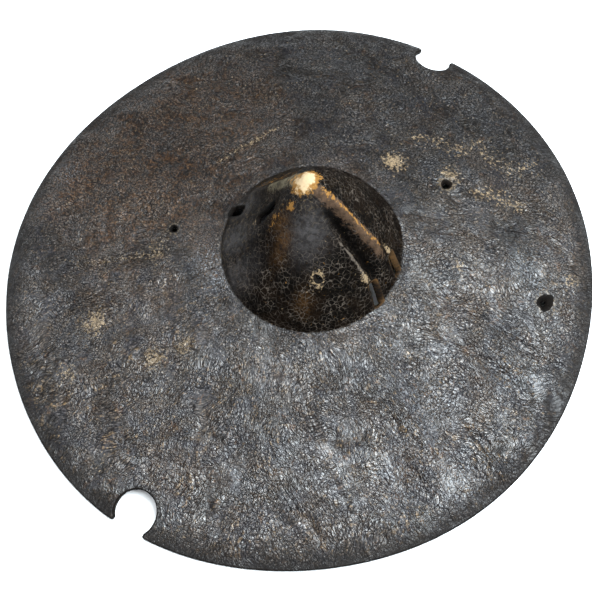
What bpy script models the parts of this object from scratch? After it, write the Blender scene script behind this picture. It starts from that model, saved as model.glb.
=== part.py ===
"""Round shield of moulded hide: a dished flange round a tall hollow boss.

Metres, +Z up. The shield lies on its rim with the boss up. The origin is at the middle of the rim, on the
surface that it lies on, and X runs along the line of the strap slots, from the pair with the long slit
towards the pair beside the fold. Angles are in degrees, anticlockwise from X as seen from above.
"""
import math

import bmesh
import bpy
from mathutils import Matrix, Vector

# The hide
HIDE_THICKNESS = 0.005
HIDE_COLOUR = (0.035, 0.029, 0.026, 1.0)
HIDE_ROUGHNESS = 0.5

# The rim: its mean radius, the slow waves of its hand-cut edge (waves round it, height, angle of a crest),
# the rounding of its edge, and how much of its lower corner is worn off flat, where it stands
RIM_RADIUS = 0.2603
RIM_WAVES = (
    (1, 0.0009, -33.0),
    (2, 0.0044, 75.0),
    (3, 0.0011, -29.0),
    (4, 0.0007, -10.0),
    (5, 0.0010, -29.0),
)
RIM_EDGE_ROUND = 0.0014
RIM_WEAR = 0.0018

# The flange: height of its outer face at the foot of the boss, its bulge half-way out, its slow waves
FLANGE_RISE = 0.058
FLANGE_BULGE = 0.003
FLANGE_WAVES = (
    (3, 0.0016, 40.0),
    (5, 0.0011, -46.0),
    (8, 0.0006, 12.0),
)

# The boss: where its axis meets the flange, its radius there, its height above that, how blunt its tip is
BOSS_AXIS = Vector((0.0103, 0.0092))
BOSS_RADIUS = 0.0780
BOSS_HEIGHT = 0.105
BOSS_TIP_RADIUS = 0.010
BOSS_FOOT_ROUND = 0.0045

# The boss leans, and its side bellies out on the side of the fold and hollows in on the other
BOSS_LEAN = Vector((-0.0054, 0.0079))
BOSS_BELLY = 0.014
BOSS_BELLY_ANGLE = 28.0

# Folds up the side of the boss: start and end from its axis, height (a hollow is negative), half-width
BOSS_FOLDS = (
    (Vector((0.0050, 0.0030)), Vector((0.0680, 0.0000)), 0.0034, 0.0052),
    (Vector((0.0110, -0.0040)), Vector((0.0660, -0.0160)), -0.0040, 0.0046),
    (Vector((0.0200, -0.0115)), Vector((0.0620, -0.0240)), 0.0014, 0.0050),
    (Vector((-0.0160, 0.0100)), Vector((-0.0680, 0.0200)), 0.0026, 0.0045),
)

# Notches in the rim: angle, half-width, half-depth, and how far inside the rim their middle is
NEAR_NOTCH = (-98.5, 0.0180, 0.0180, 0.0150)
FAR_NOTCH = (84.5, 0.0165, 0.0130, 0.0095)

# Strap slots: angle round the boss, distance in from its foot, length, width, turn from straight up
STRAP_SLOTS = (
    ("slot_fold_near", -18.7, 0.0056, 0.020, 0.0100, -3.0),
    ("slot_fold_far", 6.4, 0.0055, 0.020, 0.0095, -9.0),
    ("slot_slit", -159.0, 0.0428, 0.031, 0.0078, 8.0),
    ("slot_side", 177.5, 0.0070, 0.019, 0.0090, 0.0),
)

# Worn holes: one in the boss by angle, distance in from its foot and diameter
BOSS_HOLE = (-58.9, 0.0253, 0.0048)

# Worn holes in the flange: angle round the rim, share of the flange's width out from the boss, diameter
FLANGE_HOLES = (
    ("hole_left", -171.6, 0.233, 0.0055),
    ("hole_back", 52.6, 0.332, 0.0080),
    ("hole_right", 15.1, 0.747, 0.0130),
)

# How finely the form is faceted
SEGMENTS = 90
BOSS_RINGS = 12
FLANGE_RINGS = 6
RIM_LIP = 0.009
ROUND_SIDES = 20
PROBE_STEP = 0.002
CUTTER_REACH = 0.05


def clear_scene():
    """Remove whatever the scene holds."""
    for thing in list(bpy.data.objects):
        bpy.data.objects.remove(thing, do_unlink=True)


def smooth_step(low, high, value):
    """Rise smoothly from 0 at low to 1 at high."""
    t = min(max((value - low) / (high - low), 0.0), 1.0)
    return t * t * (3.0 - 2.0 * t)


def heading(angle):
    """Unit vector in plan at an angle in radians."""
    return Vector((math.cos(angle), math.sin(angle)))


def add_waves(angle, waves):
    """Sum of cosine waves round a circle, each given as waves round it, height, angle of a crest."""
    return sum(size * math.cos(count * (angle - math.radians(crest))) for count, size, crest in waves)


def rim_radius(angle):
    """Distance from the origin to the rim."""
    return RIM_RADIUS + add_waves(angle, RIM_WAVES)


def foot_radius(angle):
    """Distance from the origin to the foot of the boss, which stands a little off the middle."""
    ahead = heading(angle)
    return BOSS_AXIS.dot(ahead) + math.sqrt(BOSS_RADIUS ** 2 - BOSS_AXIS.cross(ahead) ** 2)


def rim_fall():
    """Slope of the flange at the rim, as fall over run."""
    return (FLANGE_RISE + 4.0 * FLANGE_BULGE) / (RIM_RADIUS - BOSS_RADIUS)


def rim_height():
    """Height of the outer face at the rim, whose lower corner is worn off flat."""
    return HIDE_THICKNESS / math.hypot(1.0, rim_fall()) - RIM_WEAR


def flange_height(share, angle):
    """Height of the flange's outer face; share is 0 at the foot of the boss and 1 at the rim."""
    straight = rim_height() + (FLANGE_RISE - rim_height()) * (1.0 - share)
    bulge = FLANGE_BULGE * 4.0 * max(share, 0.0) * (1.0 - share)
    inside = smooth_step(0.0, 0.35, share) * smooth_step(1.0, 0.72, share)
    return straight + bulge + add_waves(angle, FLANGE_WAVES) * inside


def boss_slope():
    """Slope of the boss's side, as rise over run, from its height, its foot and its blunt tip."""
    return BOSS_HEIGHT / math.sqrt(BOSS_RADIUS ** 2 - 2.0 * BOSS_HEIGHT * BOSS_TIP_RADIUS)


def boss_polar(spot):
    """Share of the way out from the leaning axis to the foot of the boss, and the angle round that axis."""
    reach = 0.0
    arm = spot - BOSS_AXIS
    for _ in range(24):
        arm = spot - BOSS_AXIS - BOSS_LEAN * (1.0 - min(reach, 1.0))
        reach = arm.length / BOSS_RADIUS
    return reach, math.atan2(arm.y, arm.x)


def boss_height(spot):
    """Height of the boss's outer face: a cone with a blunt tip, bellied to one side."""
    reach, angle = boss_polar(spot)
    slope = boss_slope()
    blunt = BOSS_TIP_RADIUS * slope ** 2
    cone = FLANGE_RISE + BOSS_HEIGHT + blunt - math.hypot(slope * reach * BOSS_RADIUS, blunt)
    belly = BOSS_BELLY * 4.0 * reach * (1.0 - reach) * math.cos(angle - math.radians(BOSS_BELLY_ANGLE))
    return cone + (belly if reach < 1.0 else 0.0)


def fold_lift(spot):
    """How far the folds lift the boss's side, straight up."""
    lift = 0.0
    for start, end, size, half_width in BOSS_FOLDS:
        line = end - start
        arm = spot - BOSS_AXIS - start
        along = arm.dot(line) / line.length_squared
        across = arm.cross(line.normalized())
        window = smooth_step(-0.05, 0.5, along) * smooth_step(1.15, 0.85, along)
        lift += size * window * math.exp(-0.5 * (across / half_width) ** 2)
    return lift * math.hypot(1.0, boss_slope())


def outer_height(spot):
    """Height of the hide's outer face over a spot in plan, with a fillet at the foot of the boss."""
    angle = math.atan2(spot.y, spot.x)
    foot = foot_radius(angle)
    share = (spot.length - foot) / (rim_radius(angle) - foot)
    flange = flange_height(share, angle)
    boss = boss_height(spot) + fold_lift(spot)
    size = BOSS_FOOT_ROUND * (boss_slope() - rim_fall()) * 2.0
    near = max(size - abs(flange - boss), 0.0) / size
    return max(flange, boss) + near * near * size * 0.25


def outer_point(spot):
    """Point of the hide's outer face over a spot in plan."""
    return Vector((spot.x, spot.y, outer_height(spot)))


def boss_spot(reach, angle):
    """Spot in plan on the boss: reach is 0 at its leaning axis and 1 at its foot."""
    return BOSS_AXIS + BOSS_LEAN * (1.0 - reach) + heading(angle) * BOSS_RADIUS * reach


def flange_spot(share, angle):
    """Spot in plan on the flange: share is 0 at the foot of the boss and 1 at the rim."""
    foot = foot_radius(angle)
    return heading(angle) * (foot + (rim_radius(angle) - foot) * share)


def meridian_spots(angle):
    """Spots from just off the boss's tip to the rim, closer together at the boss's foot and the rim."""
    around = flange_spot(0.0, angle) - BOSS_AXIS
    boss_angle = math.atan2(around.y, around.x)
    foot = BOSS_FOOT_ROUND / BOSS_RADIUS
    narrow = BOSS_FOOT_ROUND / (RIM_RADIUS - BOSS_RADIUS)
    reaches = [(index / BOSS_RINGS) ** 1.15 * (1.0 - foot) for index in range(1, BOSS_RINGS + 1)]
    lip = 1.0 - RIM_LIP / (RIM_RADIUS - BOSS_RADIUS)
    shares = [narrow + (lip - narrow) * index / FLANGE_RINGS for index in range(FLANGE_RINGS + 1)]
    boss = [boss_spot(reach, boss_angle) for reach in reaches]
    return boss + [flange_spot(share, angle) for share in [0.0] + shares + [1.0]]


def hide_mesh():
    """Mesh of the outer face: meridians from the boss's tip to the rim, whose edge is marked to be rounded."""
    shell = bmesh.new()
    tip = shell.verts.new(outer_point(boss_spot(0.0, 0.0)))
    angles = [2.0 * math.pi * index / SEGMENTS for index in range(SEGMENTS)]
    lines = [[shell.verts.new(outer_point(spot)) for spot in meridian_spots(angle)] for angle in angles]
    for line, after in zip(lines, lines[1:] + lines[:1]):
        shell.faces.new((tip, line[0], after[0]))
        for index in range(len(line) - 1):
            shell.faces.new((line[index], line[index + 1], after[index + 1], after[index]))
    for face in shell.faces:
        face.smooth = True
    rounding = shell.edges.layers.float.new("bevel_weight_edge")
    for edge in shell.edges:
        edge[rounding] = 1.0 if edge.is_boundary else 0.0
    mesh = bpy.data.meshes.new("shield_hide")
    shell.to_mesh(mesh)
    shell.free()
    return mesh


def hide_material():
    """Dark oiled hide."""
    material = bpy.data.materials.new("dark_hide")
    material.use_nodes = True
    shader = material.node_tree.nodes["Principled BSDF"]
    shader.inputs["Base Color"].default_value = HIDE_COLOUR
    shader.inputs["Roughness"].default_value = HIDE_ROUGHNESS
    shader.inputs["Metallic"].default_value = 0.0
    return material


def add_object(name, mesh):
    """Link a new object with this mesh to the scene."""
    thing = bpy.data.objects.new(name, mesh)
    bpy.context.scene.collection.objects.link(thing)
    return thing


def make_cutter(name, outline, reach, place):
    """A hidden prism that cuts through the hide: its outline lies in the XY plane of the matrix place."""
    form = bmesh.new()
    low = [form.verts.new((x, y, -reach)) for x, y in outline]
    floor = form.faces.new(low)
    risen = bmesh.ops.extrude_face_region(form, geom=[floor])["geom"]
    tops = [part for part in risen if isinstance(part, bmesh.types.BMVert)]
    bmesh.ops.translate(form, verts=tops, vec=(0.0, 0.0, 2.0 * reach))
    bmesh.ops.recalc_face_normals(form, faces=form.faces)
    form.transform(place)
    mesh = bpy.data.meshes.new(name)
    form.to_mesh(mesh)
    form.free()
    cutter = add_object(name, mesh)
    cutter.hide_render = True
    cutter.display_type = "WIRE"
    return cutter


def oval_outline(half_x, half_y):
    """Points of an oval with these half-widths."""
    angles = [2.0 * math.pi * index / ROUND_SIDES for index in range(ROUND_SIDES)]
    return [(half_x * math.cos(angle), half_y * math.sin(angle)) for angle in angles]


def slot_outline(length, width):
    """Points of a slot along X with round ends."""
    radius = width * 0.5
    straight = length * 0.5 - radius
    half = ROUND_SIDES // 2
    arc = [math.pi * (index / half - 0.5) for index in range(half + 1)]
    right = [(straight + radius * math.cos(angle), radius * math.sin(angle)) for angle in arc]
    return right + [(-x, -y) for x, y in right]


def face_place(spot, away, turn=0.0):
    """Matrix on the outer face over a spot: Z along its normal, X down the face in the direction away."""
    step = away.normalized() * PROBE_STEP
    side_step = Vector((-step.y, step.x))
    down = (outer_point(spot + step) - outer_point(spot - step)).normalized()
    side = (outer_point(spot + side_step) - outer_point(spot - side_step)).normalized()
    normal = down.cross(side).normalized()
    axes = Matrix((down, normal.cross(down), normal)).transposed().to_4x4()
    return Matrix.Translation(outer_point(spot)) @ axes @ Matrix.Rotation(math.radians(turn), 4, "Z")


def boss_place(degrees, inset, turn=0.0):
    """Matrix on the side of the boss, a distance in from its foot."""
    angle = math.radians(degrees)
    return face_place(boss_spot(1.0 - inset / BOSS_RADIUS, angle), heading(angle), turn)


def notch_cutter(name, degrees, half_width, half_depth, inset):
    """Cutter for a round notch whose middle lies a little inside the rim."""
    angle = math.radians(degrees)
    middle = heading(angle) * (rim_radius(angle) - inset)
    place = Matrix.Translation(middle.to_3d()) @ Matrix.Rotation(angle, 4, "Z")
    return make_cutter(name, oval_outline(half_depth, half_width), CUTTER_REACH, place)


def hole_cutter(name, diameter, place):
    """Cutter for a small round hole through the hide."""
    radius = diameter * 0.5
    return make_cutter(name, oval_outline(radius, radius), HIDE_THICKNESS * 2.5, place)


def foot_cutter():
    """Cutter below the surface that the shield lies on, which leaves the rim a flat foot."""
    side = RIM_RADIUS * 1.5
    outline = [(-side, -side), (side, -side), (side, side), (-side, side)]
    return make_cutter("cut_foot", outline, CUTTER_REACH, Matrix.Translation((0.0, 0.0, -CUTTER_REACH)))


def all_cutters():
    """Cutters for the foot, the rim notches, the strap slots and the worn holes."""
    through = HIDE_THICKNESS * 2.5
    cutters = [foot_cutter()]
    cutters.append(notch_cutter("cut_notch_near", *NEAR_NOTCH))
    cutters.append(notch_cutter("cut_notch_far", *FAR_NOTCH))
    for name, degrees, inset, length, width, turn in STRAP_SLOTS:
        place = boss_place(degrees, inset, turn)
        cutters.append(make_cutter("cut_" + name, slot_outline(length, width), through, place))
    degrees, inset, diameter = BOSS_HOLE
    cutters.append(hole_cutter("cut_hole_boss", diameter, boss_place(degrees, inset)))
    for name, degrees, share, diameter in FLANGE_HOLES:
        angle = math.radians(degrees)
        place = face_place(flange_spot(share, angle), heading(angle))
        cutters.append(hole_cutter("cut_" + name, diameter, place))
    return cutters


def build_shield():
    """The whole shield, one piece of hide."""
    shield = add_object("shield_hide", hide_mesh())
    shield.data.materials.append(hide_material())
    wall = shield.modifiers.new("thickness", "SOLIDIFY")
    wall.thickness = HIDE_THICKNESS
    wall.offset = -1.0
    wall.use_even_offset = True
    edge = shield.modifiers.new("edge", "BEVEL")
    edge.width = RIM_EDGE_ROUND
    edge.segments = 2
    edge.limit_method = "WEIGHT"
    for cutter in all_cutters():
        cut = shield.modifiers.new(cutter.name, "BOOLEAN")
        cut.operation = "DIFFERENCE"
        cut.solver = "EXACT"
        cut.object = cutter
    return shield


clear_scene()
build_shield()
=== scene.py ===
"""Round shield of thick moulded hide, lying boss up: its piece and finishes, the floor, light and camera.

Metres, +Z up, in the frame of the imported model. Angles in tables are degrees, anticlockwise from X as seen
from above. The form is the one in the part's source. Creases, wrinkles, worn lips and grain are added here.
"""
import logging
import math
from dataclasses import dataclass, field, fields
from enum import Enum
from typing import Any, Sequence

import bpy
import numpy as np
from mathutils import Matrix, Vector
from mathutils.geometry import delaunay_2d_cdt
from mathutils.kdtree import KDTree


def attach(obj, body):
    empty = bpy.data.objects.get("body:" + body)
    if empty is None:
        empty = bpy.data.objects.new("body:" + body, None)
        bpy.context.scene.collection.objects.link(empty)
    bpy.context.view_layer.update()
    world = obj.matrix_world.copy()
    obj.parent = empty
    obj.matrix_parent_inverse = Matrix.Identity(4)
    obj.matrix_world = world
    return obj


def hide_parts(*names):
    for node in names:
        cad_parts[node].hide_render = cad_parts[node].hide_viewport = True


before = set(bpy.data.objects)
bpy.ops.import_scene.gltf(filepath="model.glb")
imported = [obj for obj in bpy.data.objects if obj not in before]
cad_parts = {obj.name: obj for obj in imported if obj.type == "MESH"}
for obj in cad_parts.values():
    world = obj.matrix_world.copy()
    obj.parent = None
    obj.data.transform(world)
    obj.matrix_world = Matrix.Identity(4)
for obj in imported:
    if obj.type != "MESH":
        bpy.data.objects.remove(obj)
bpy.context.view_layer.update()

LOG = logging.getLogger("shield")
Array = np.ndarray
Point2 = tuple[float, float]
Colour = tuple[float, float, float, float]
Socket = bpy.types.NodeSocket
MM = 0.001
# The flange's painted shade darkens the side away from this direction.
FOLDED_WAY = (0.35, -0.94, 0.0)  # towards the side of the shield that was folded most


class Side(Enum):
    """Which face of the hide a mesh face belongs to."""

    FLANGE = 0
    CUT = 1
    FLESH = 2
    BOSS = 3


def smooth_step(low: float, high: float, value: Array) -> Array:
    """Rise smoothly from 0 at low to 1 at high.

    Args:
        low: value at which the result is 0.
        high: value at which the result is 1; it may be less than low.
        value: the values.

    Returns:
        An array of shares from 0 to 1.
    """
    t = np.clip((value - low) / (high - low), 0.0, 1.0)
    return t * t * (3.0 - 2.0 * t)


def bell(value: Array, width: float) -> Array:
    """Bell curve of height 1 and this standard width."""
    return np.exp(-0.5 * (value / width) ** 2)


def turn_from(angle: Array, degrees: float) -> Array:
    """Unsigned angle between each direction and one given in degrees."""
    return np.abs((angle - math.radians(degrees) + math.pi) % (2.0 * math.pi) - math.pi)


def gaps(points: Array, edge: Array) -> Array:
    """Find how far points are in plan from the nearest of an edge's points.

    Args:
        points: the points, N by 2 or more.
        edge: plan points of the edge, M by 2.

    Returns:
        N distances.
    """
    tree = KDTree(len(edge))
    for index, (x, y) in enumerate(edge):
        tree.insert((x, y, 0.0), index)
    tree.balance()
    return np.array([tree.find((x, y, 0.0))[2] for x, y in points[:, :2]])


def to_line(x: Array, y: Array, line: Sequence[Point2]) -> tuple[Array, Array]:
    """Find where points lie beside a line of straight pieces.

    Args:
        x: plan x of the points.
        y: plan y of the points.
        line: the line's points.

    Returns:
        The signed distance from the line and the share of its length at the nearest point.
    """
    nearest = np.full(np.shape(x), 1e9)
    signed = np.zeros(np.shape(x))
    share = np.zeros(np.shape(x))
    lengths = [math.dist(a, b) for a, b in zip(line, line[1:])]
    done = 0.0
    for (ax, ay), (bx, by), length in zip(line, line[1:], lengths):
        ux, uy = (bx - ax) / length, (by - ay) / length
        along = np.clip((x - ax) * ux + (y - ay) * uy, 0.0, length)
        dx, dy = x - ax - along * ux, y - ay - along * uy
        gap = np.hypot(dx, dy)
        side = np.sign(ux * (y - ay) - uy * (x - ax))
        closer = gap < nearest
        nearest = np.where(closer, gap, nearest)
        signed = np.where(closer, gap * side, signed)
        share = np.where(closer, (done + along) / sum(lengths), share)
        done += length
    return signed, share


@dataclass(frozen=True)
class Fold:
    """A fold up the side of the boss; start and end are measured from the boss's axis."""

    start: Point2
    end: Point2
    size: float
    half_width: float
    begin: float = 0.5


@dataclass(frozen=True)
class Crease:
    """A crease or a band of wrinkles in the flange, along a line in plan."""

    line: tuple[Point2, ...]
    depth: float
    half_width: float
    band: float = 0.010
    pale: float = 0.0


@dataclass(frozen=True)
class FoldLine:
    """A stripe of colour along a fold: which fold, how far beside it, its width, and where it fades."""

    name: str
    fold: int
    width: float
    starts: Point2
    stops: Point2
    shift: float = 0.0
    strength: float = 1.0


@dataclass(frozen=True)
class Hole:
    """A worn hole or a strap slot: its place and direction in plan, its sizes and how ragged its edge is."""

    name: str
    spot: Point2
    away: Point2
    half_length: float
    half_width: float
    turn: float = 0.0
    corner: float = 0.0
    ragged: float = 0.0
    funnel: float = 0.0


def mm(*points: Point2) -> tuple[Point2, ...]:
    """Points given in millimetres, in metres."""
    return tuple((x * MM, y * MM) for x, y in points)


@dataclass(frozen=True)
class HideForm:
    """The moulded form of the hide as a height over its plan, the same as in the part's source.

    Creases, dents and worn lips are added to the outer face only, where detailed heights are asked for.
    """

    thickness: float = 0.005
    mean_rim: float = 0.2603
    rim_waves: tuple = ((1, 0.0009, -33.0), (2, 0.0044, 75.0), (3, 0.0011, -29.0), (4, 0.0007, -10.0),
                        (5, 0.0010, -29.0))
    rim_wear: float = 0.0018
    rise: float = 0.058
    bulge: float = 0.003
    flange_waves: tuple = ((3, 0.0016, 40.0), (5, 0.0011, -46.0), (8, 0.0006, 12.0))
    axis: Point2 = (0.0103, 0.0092)
    radius: float = 0.0780
    boss_rise: float = 0.105
    tip_radius: float = 0.010
    foot_round: float = 0.0045
    lean: Point2 = (-0.0054, 0.0079)
    belly: float = 0.014
    belly_angle: float = 28.0
    folds: tuple[Fold, ...] = (
        Fold((0.0050, 0.0030), (0.0680, 0.0000), 0.0034, 0.0052),
        Fold((0.0110, -0.0040), (0.0660, -0.0160), -0.0040, 0.0046),
        Fold((0.0200, -0.0115), (0.0620, -0.0240), 0.0014, 0.0050),
        Fold((-0.0160, 0.0100), (-0.0680, 0.0200), 0.0026, 0.0045),
    )
    sharp_folds: tuple[Point2, ...] = ((0.0012, 0.0022), (-0.0018, 0.0026), (0.0008, 0.0030),
                                       (0.0010, 0.0030))
    cheek: float = 0.0030
    cheek_angle: float = -62.0
    cheek_reach: float = 0.80
    foot_groove: float = 0.0014
    groove_width: float = 0.0019
    roll: float = 0.0026
    roll_width: float = 0.008
    crease_scale: float = 1.4
    near_notch: tuple = (-98.5, 0.0180, 0.0180, 0.0150)
    far_notch: tuple = (84.5, 0.0165, 0.0130, 0.0095)
    creases: tuple[Crease, ...] = (
        Crease(mm((57, -112), (67, -123), (76, -130), (83, -136)), 0.0011, 0.0026),
        Crease(mm((61, -75), (68, -80), (74, -86), (80, -96)), 0.0012, 0.0038),
        Crease(mm((102, -76), (117, -87), (132, -99), (148, -121), (158, -128), (168, -133), (180, -135),
                  (193, -136)),
               0.0016, 0.0030, 0.014),
        Crease(mm((96, -60), (110, -84), (130, -103), (150, -125), (176, -140)), 0.0024, 0.0085, 0.0),
        Crease(mm((120, -6), (150, -10), (185, -16), (215, -26)), 0.0018, 0.0075, 0.0),
        Crease(mm((145, -12), (161, -14), (178, -15), (197, -19), (211, -27), (224, -35)), 0.0011, 0.0032),
        Crease(mm((184, 14), (196, 12), (210, 10), (231, 9), (252, 9)), 0.0013, 0.0034),
        Crease(mm((180, -74), (194, -78), (209, -82), (214, -90)), 0.0009, 0.0026),
        Crease(mm((88, -193), (102, -201), (115, -209), (129, -217)), 0.0012, 0.0030, 0.014),
        Crease(mm((147, 117), (160, 129), (178, 136), (198, 137)), 0.0009, 0.0028),
        Crease(mm((149, 97), (163, 110), (185, 115), (209, 114)), 0.0009, 0.0030, 0.012),
        Crease(mm((-105, 51), (-92, 71), (-78, 91), (-64, 121)), 0.0007, 0.0026, 0.012, 0.5),
        Crease(mm((-207, -75), (-177, -73), (-143, -58), (-119, -45), (-92, -28)),
               0.0011, 0.0028, 0.008, 0.35),
        Crease(mm((-81, -133), (-77, -127), (-68, -127)), 0.0009, 0.0022, 0.006, 0.45),
        Crease(mm((-63, -118), (-55, -113), (-48, -102)), 0.0010, 0.0024, 0.007, 0.55),
        Crease(mm((107, 20), (141, 15), (167, 14), (187, 11), (213, 10), (238, 10)), 0.0010, 0.0024, 0.008),
        Crease(mm((188, -72), (208, -84), (219, -96), (234, -111)), 0.0008, 0.0026, 0.010),
        Crease(mm((80, -71), (98, -87), (117, -96), (135, -113)), 0.0008, 0.0030, 0.010),
        Crease(mm((117, -96), (137, -100), (156, -108), (174, -121)), 0.0010, 0.0028, 0.012),
        Crease(mm((57, -174), (76, -187), (95, -199), (114, -212)), 0.0010, 0.0026, 0.012),
        Crease(mm((80, -206), (99, -218), (111, -226)), 0.0008, 0.0024, 0.009),
        Crease(mm((154, -28), (172, -34), (192, -49)), 0.0007, 0.0026, 0.009),
        Crease(mm((-176, -113), (-149, -96), (-114, -96)), 0.0007, 0.0030, 0.010),
        Crease(mm((-115, 188), (-80, 184), (-41, 188)), 0.0006, 0.0028, 0.008),
        Crease(mm((86, 67), (127, 80), (175, 79)), 0.0006, 0.0030, 0.008),
        Crease(mm((218, 64), (239, 45)), 0.0008, 0.0022, 0.006),
    )

    def waves(self, angle: Array, waves: tuple) -> Array:
        """Sum of cosine waves round a circle, each given as waves round it, height, angle of a crest."""
        return sum(size * np.cos(count * (angle - math.radians(crest))) for count, size, crest in waves)

    def rim(self, angle: Array) -> Array:
        """Distance from the origin to the rim."""
        return self.mean_rim + self.waves(angle, self.rim_waves)

    def foot(self, angle: Array) -> Array:
        """Distance from the origin to the foot of the boss.

        Args:
            angle: direction from the origin, in radians.

        Returns:
            The distance.
        """
        ahead_x, ahead_y = np.cos(angle), np.sin(angle)
        along = self.axis[0] * ahead_x + self.axis[1] * ahead_y
        across = self.axis[0] * ahead_y - self.axis[1] * ahead_x
        return along + np.sqrt(self.radius ** 2 - across ** 2)

    @property
    def rim_fall(self) -> float:
        """Slope of the flange at the rim, as fall over run."""
        return (self.rise + 4.0 * self.bulge) / (self.mean_rim - self.radius)

    @property
    def rim_height(self) -> float:
        """Height of the outer face at the rim, whose lower corner is worn off flat."""
        return self.thickness / math.hypot(1.0, self.rim_fall) - self.rim_wear

    @property
    def slope(self) -> float:
        """Slope of the boss's side, as rise over run."""
        return self.boss_rise / math.sqrt(self.radius ** 2 - 2.0 * self.boss_rise * self.tip_radius)

    def flange_share(self, x: Array, y: Array) -> tuple[Array, Array]:
        """Share of the way from the boss's foot to the rim, and the angle round the origin.

        Args:
            x: plan x of the points.
            y: plan y of the points.

        Returns:
            The share, which is below 0 inside the foot, and the angle in radians.
        """
        angle = np.arctan2(y, x)
        foot = self.foot(angle)
        return (np.hypot(x, y) - foot) / (self.rim(angle) - foot), angle

    def flange(self, x: Array, y: Array) -> Array:
        """Height of the flange's outer face.

        Args:
            x: plan x of the points.
            y: plan y of the points.

        Returns:
            The heights.
        """
        share, angle = self.flange_share(x, y)
        straight = self.rim_height + (self.rise - self.rim_height) * (1.0 - share)
        bulge = self.bulge * 4.0 * np.maximum(share, 0.0) * (1.0 - share)
        inside = smooth_step(0.0, 0.35, share) * smooth_step(1.0, 0.72, share)
        return straight + bulge + self.waves(angle, self.flange_waves) * inside

    def boss_polar(self, x: Array, y: Array) -> tuple[Array, Array]:
        """Find where points lie round the boss's leaning axis.

        Args:
            x: plan x of the points.
            y: plan y of the points.

        Returns:
            The share of the way from the axis out to the boss's foot, and the angle round the axis.
        """
        reach = np.zeros(np.shape(x))
        for _ in range(24):
            left = 1.0 - np.minimum(reach, 1.0)
            arm_x = x - self.axis[0] - self.lean[0] * left
            arm_y = y - self.axis[1] - self.lean[1] * left
            reach = np.hypot(arm_x, arm_y) / self.radius
        return reach, np.arctan2(arm_y, arm_x)

    def boss(self, x: Array, y: Array) -> Array:
        """Height of the boss's outer face: a cone with a blunt tip, bellied to one side.

        Args:
            x: plan x of the points.
            y: plan y of the points.

        Returns:
            The heights.
        """
        reach, angle = self.boss_polar(x, y)
        blunt = self.tip_radius * self.slope ** 2
        cone = self.rise + self.boss_rise + blunt - np.hypot(self.slope * reach * self.radius, blunt)
        belly = self.belly * 4.0 * reach * (1.0 - reach) * np.cos(angle - math.radians(self.belly_angle))
        return cone + np.where(reach < 1.0, belly, 0.0)

    def fold_place(self, x: Array, y: Array, fold: Fold) -> tuple[Array, Array]:
        """Find where points lie beside a fold.

        Args:
            x: plan x of the points.
            y: plan y of the points.
            fold: the fold.

        Returns:
            The signed distance across the fold and the share of the way along it.
        """
        line_x, line_y = fold.end[0] - fold.start[0], fold.end[1] - fold.start[1]
        length = math.hypot(line_x, line_y)
        arm_x, arm_y = x - self.axis[0] - fold.start[0], y - self.axis[1] - fold.start[1]
        across = (arm_x * line_y - arm_y * line_x) / length
        return across, (arm_x * line_x + arm_y * line_y) / length ** 2

    def fold_lift(self, x: Array, y: Array) -> Array:
        """How far the folds lift the boss's side, straight up.

        Args:
            x: plan x of the points.
            y: plan y of the points.

        Returns:
            The lifts.
        """
        lift = np.zeros(np.shape(x))
        for fold in self.folds:
            across, along = self.fold_place(x, y, fold)
            window = smooth_step(-0.05, fold.begin, along) * smooth_step(1.15, 0.85, along)
            lift += fold.size * window * bell(across, fold.half_width)
        return lift * math.hypot(1.0, self.slope)

    def height(self, x: Array, y: Array) -> Array:
        """Height of the plain moulded outer face, with a fillet at the foot of the boss.

        Args:
            x: plan x of the points.
            y: plan y of the points.

        Returns:
            The heights.
        """
        flange = self.flange(x, y)
        boss = self.boss(x, y) + self.fold_lift(x, y)
        size = self.foot_round * (self.slope - self.rim_fall) * 2.0
        near = np.maximum(size - np.abs(flange - boss), 0.0) / size
        return np.maximum(flange, boss) + near * near * size * 0.25

    def crease_relief(self, x: Array, y: Array) -> Array:
        """How far the creases and their raised banks lift the outer face.

        Args:
            x: plan x of the points.
            y: plan y of the points.

        Returns:
            The lifts.
        """
        lift = np.zeros(np.shape(x))
        for crease in self.creases:
            away, share = to_line(x, y, crease.line)
            ends = smooth_step(0.0, 0.25, share) * smooth_step(1.0, 0.75, share)
            valley = -bell(away, crease.half_width)
            bank = 0.45 * bell(np.abs(away) - 2.4 * crease.half_width, crease.half_width)
            lift += crease.depth * (valley + bank) * ends
        return lift * self.crease_scale

    def boss_relief(self, x: Array, y: Array) -> Array:
        """How far the boss's sharp folds, full near side and tight foot lift the outer face.

        Args:
            x: plan x of the points.
            y: plan y of the points.

        Returns:
            The lifts.
        """
        reach, angle = self.boss_polar(x, y)
        lift = np.zeros(np.shape(x))
        for fold, (size, half_width) in zip(self.folds, self.sharp_folds):
            across, along = self.fold_place(x, y, fold)
            window = smooth_step(0.0, 0.3, along) * smooth_step(1.1, 0.85, along)
            lift += size * bell(across, half_width) * window
        facing = smooth_step(1.9, 0.6, turn_from(angle, self.cheek_angle))
        lift += self.cheek * bell(reach - self.cheek_reach, 0.13) * facing * smooth_step(1.02, 0.93, reach)
        lift -= self.foot_groove * bell((reach - 1.0) * self.radius, self.groove_width)
        return lift * np.where(reach < 1.0, math.hypot(1.0, self.slope), 1.0)

    def rim_roll(self, x: Array, y: Array) -> Array:
        """How far the flange is higher just inside the rim, so that it rolls down at its edge.

        Args:
            x: plan x of the points.
            y: plan y of the points.

        Returns:
            The lifts.
        """
        inward = self.rim(np.arctan2(y, x)) - np.hypot(x, y)
        rolled = 1.0 - np.exp(-np.maximum(inward, 0.0) / self.roll_width)
        return self.roll * rolled * smooth_step(0.065, 0.018, inward)

    def detailed(self, x: Array, y: Array) -> Array:
        """Height of the outer face with all its relief."""
        return self.height(x, y) + self.crease_relief(x, y) + self.boss_relief(x, y) + self.rim_roll(x, y)

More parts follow.
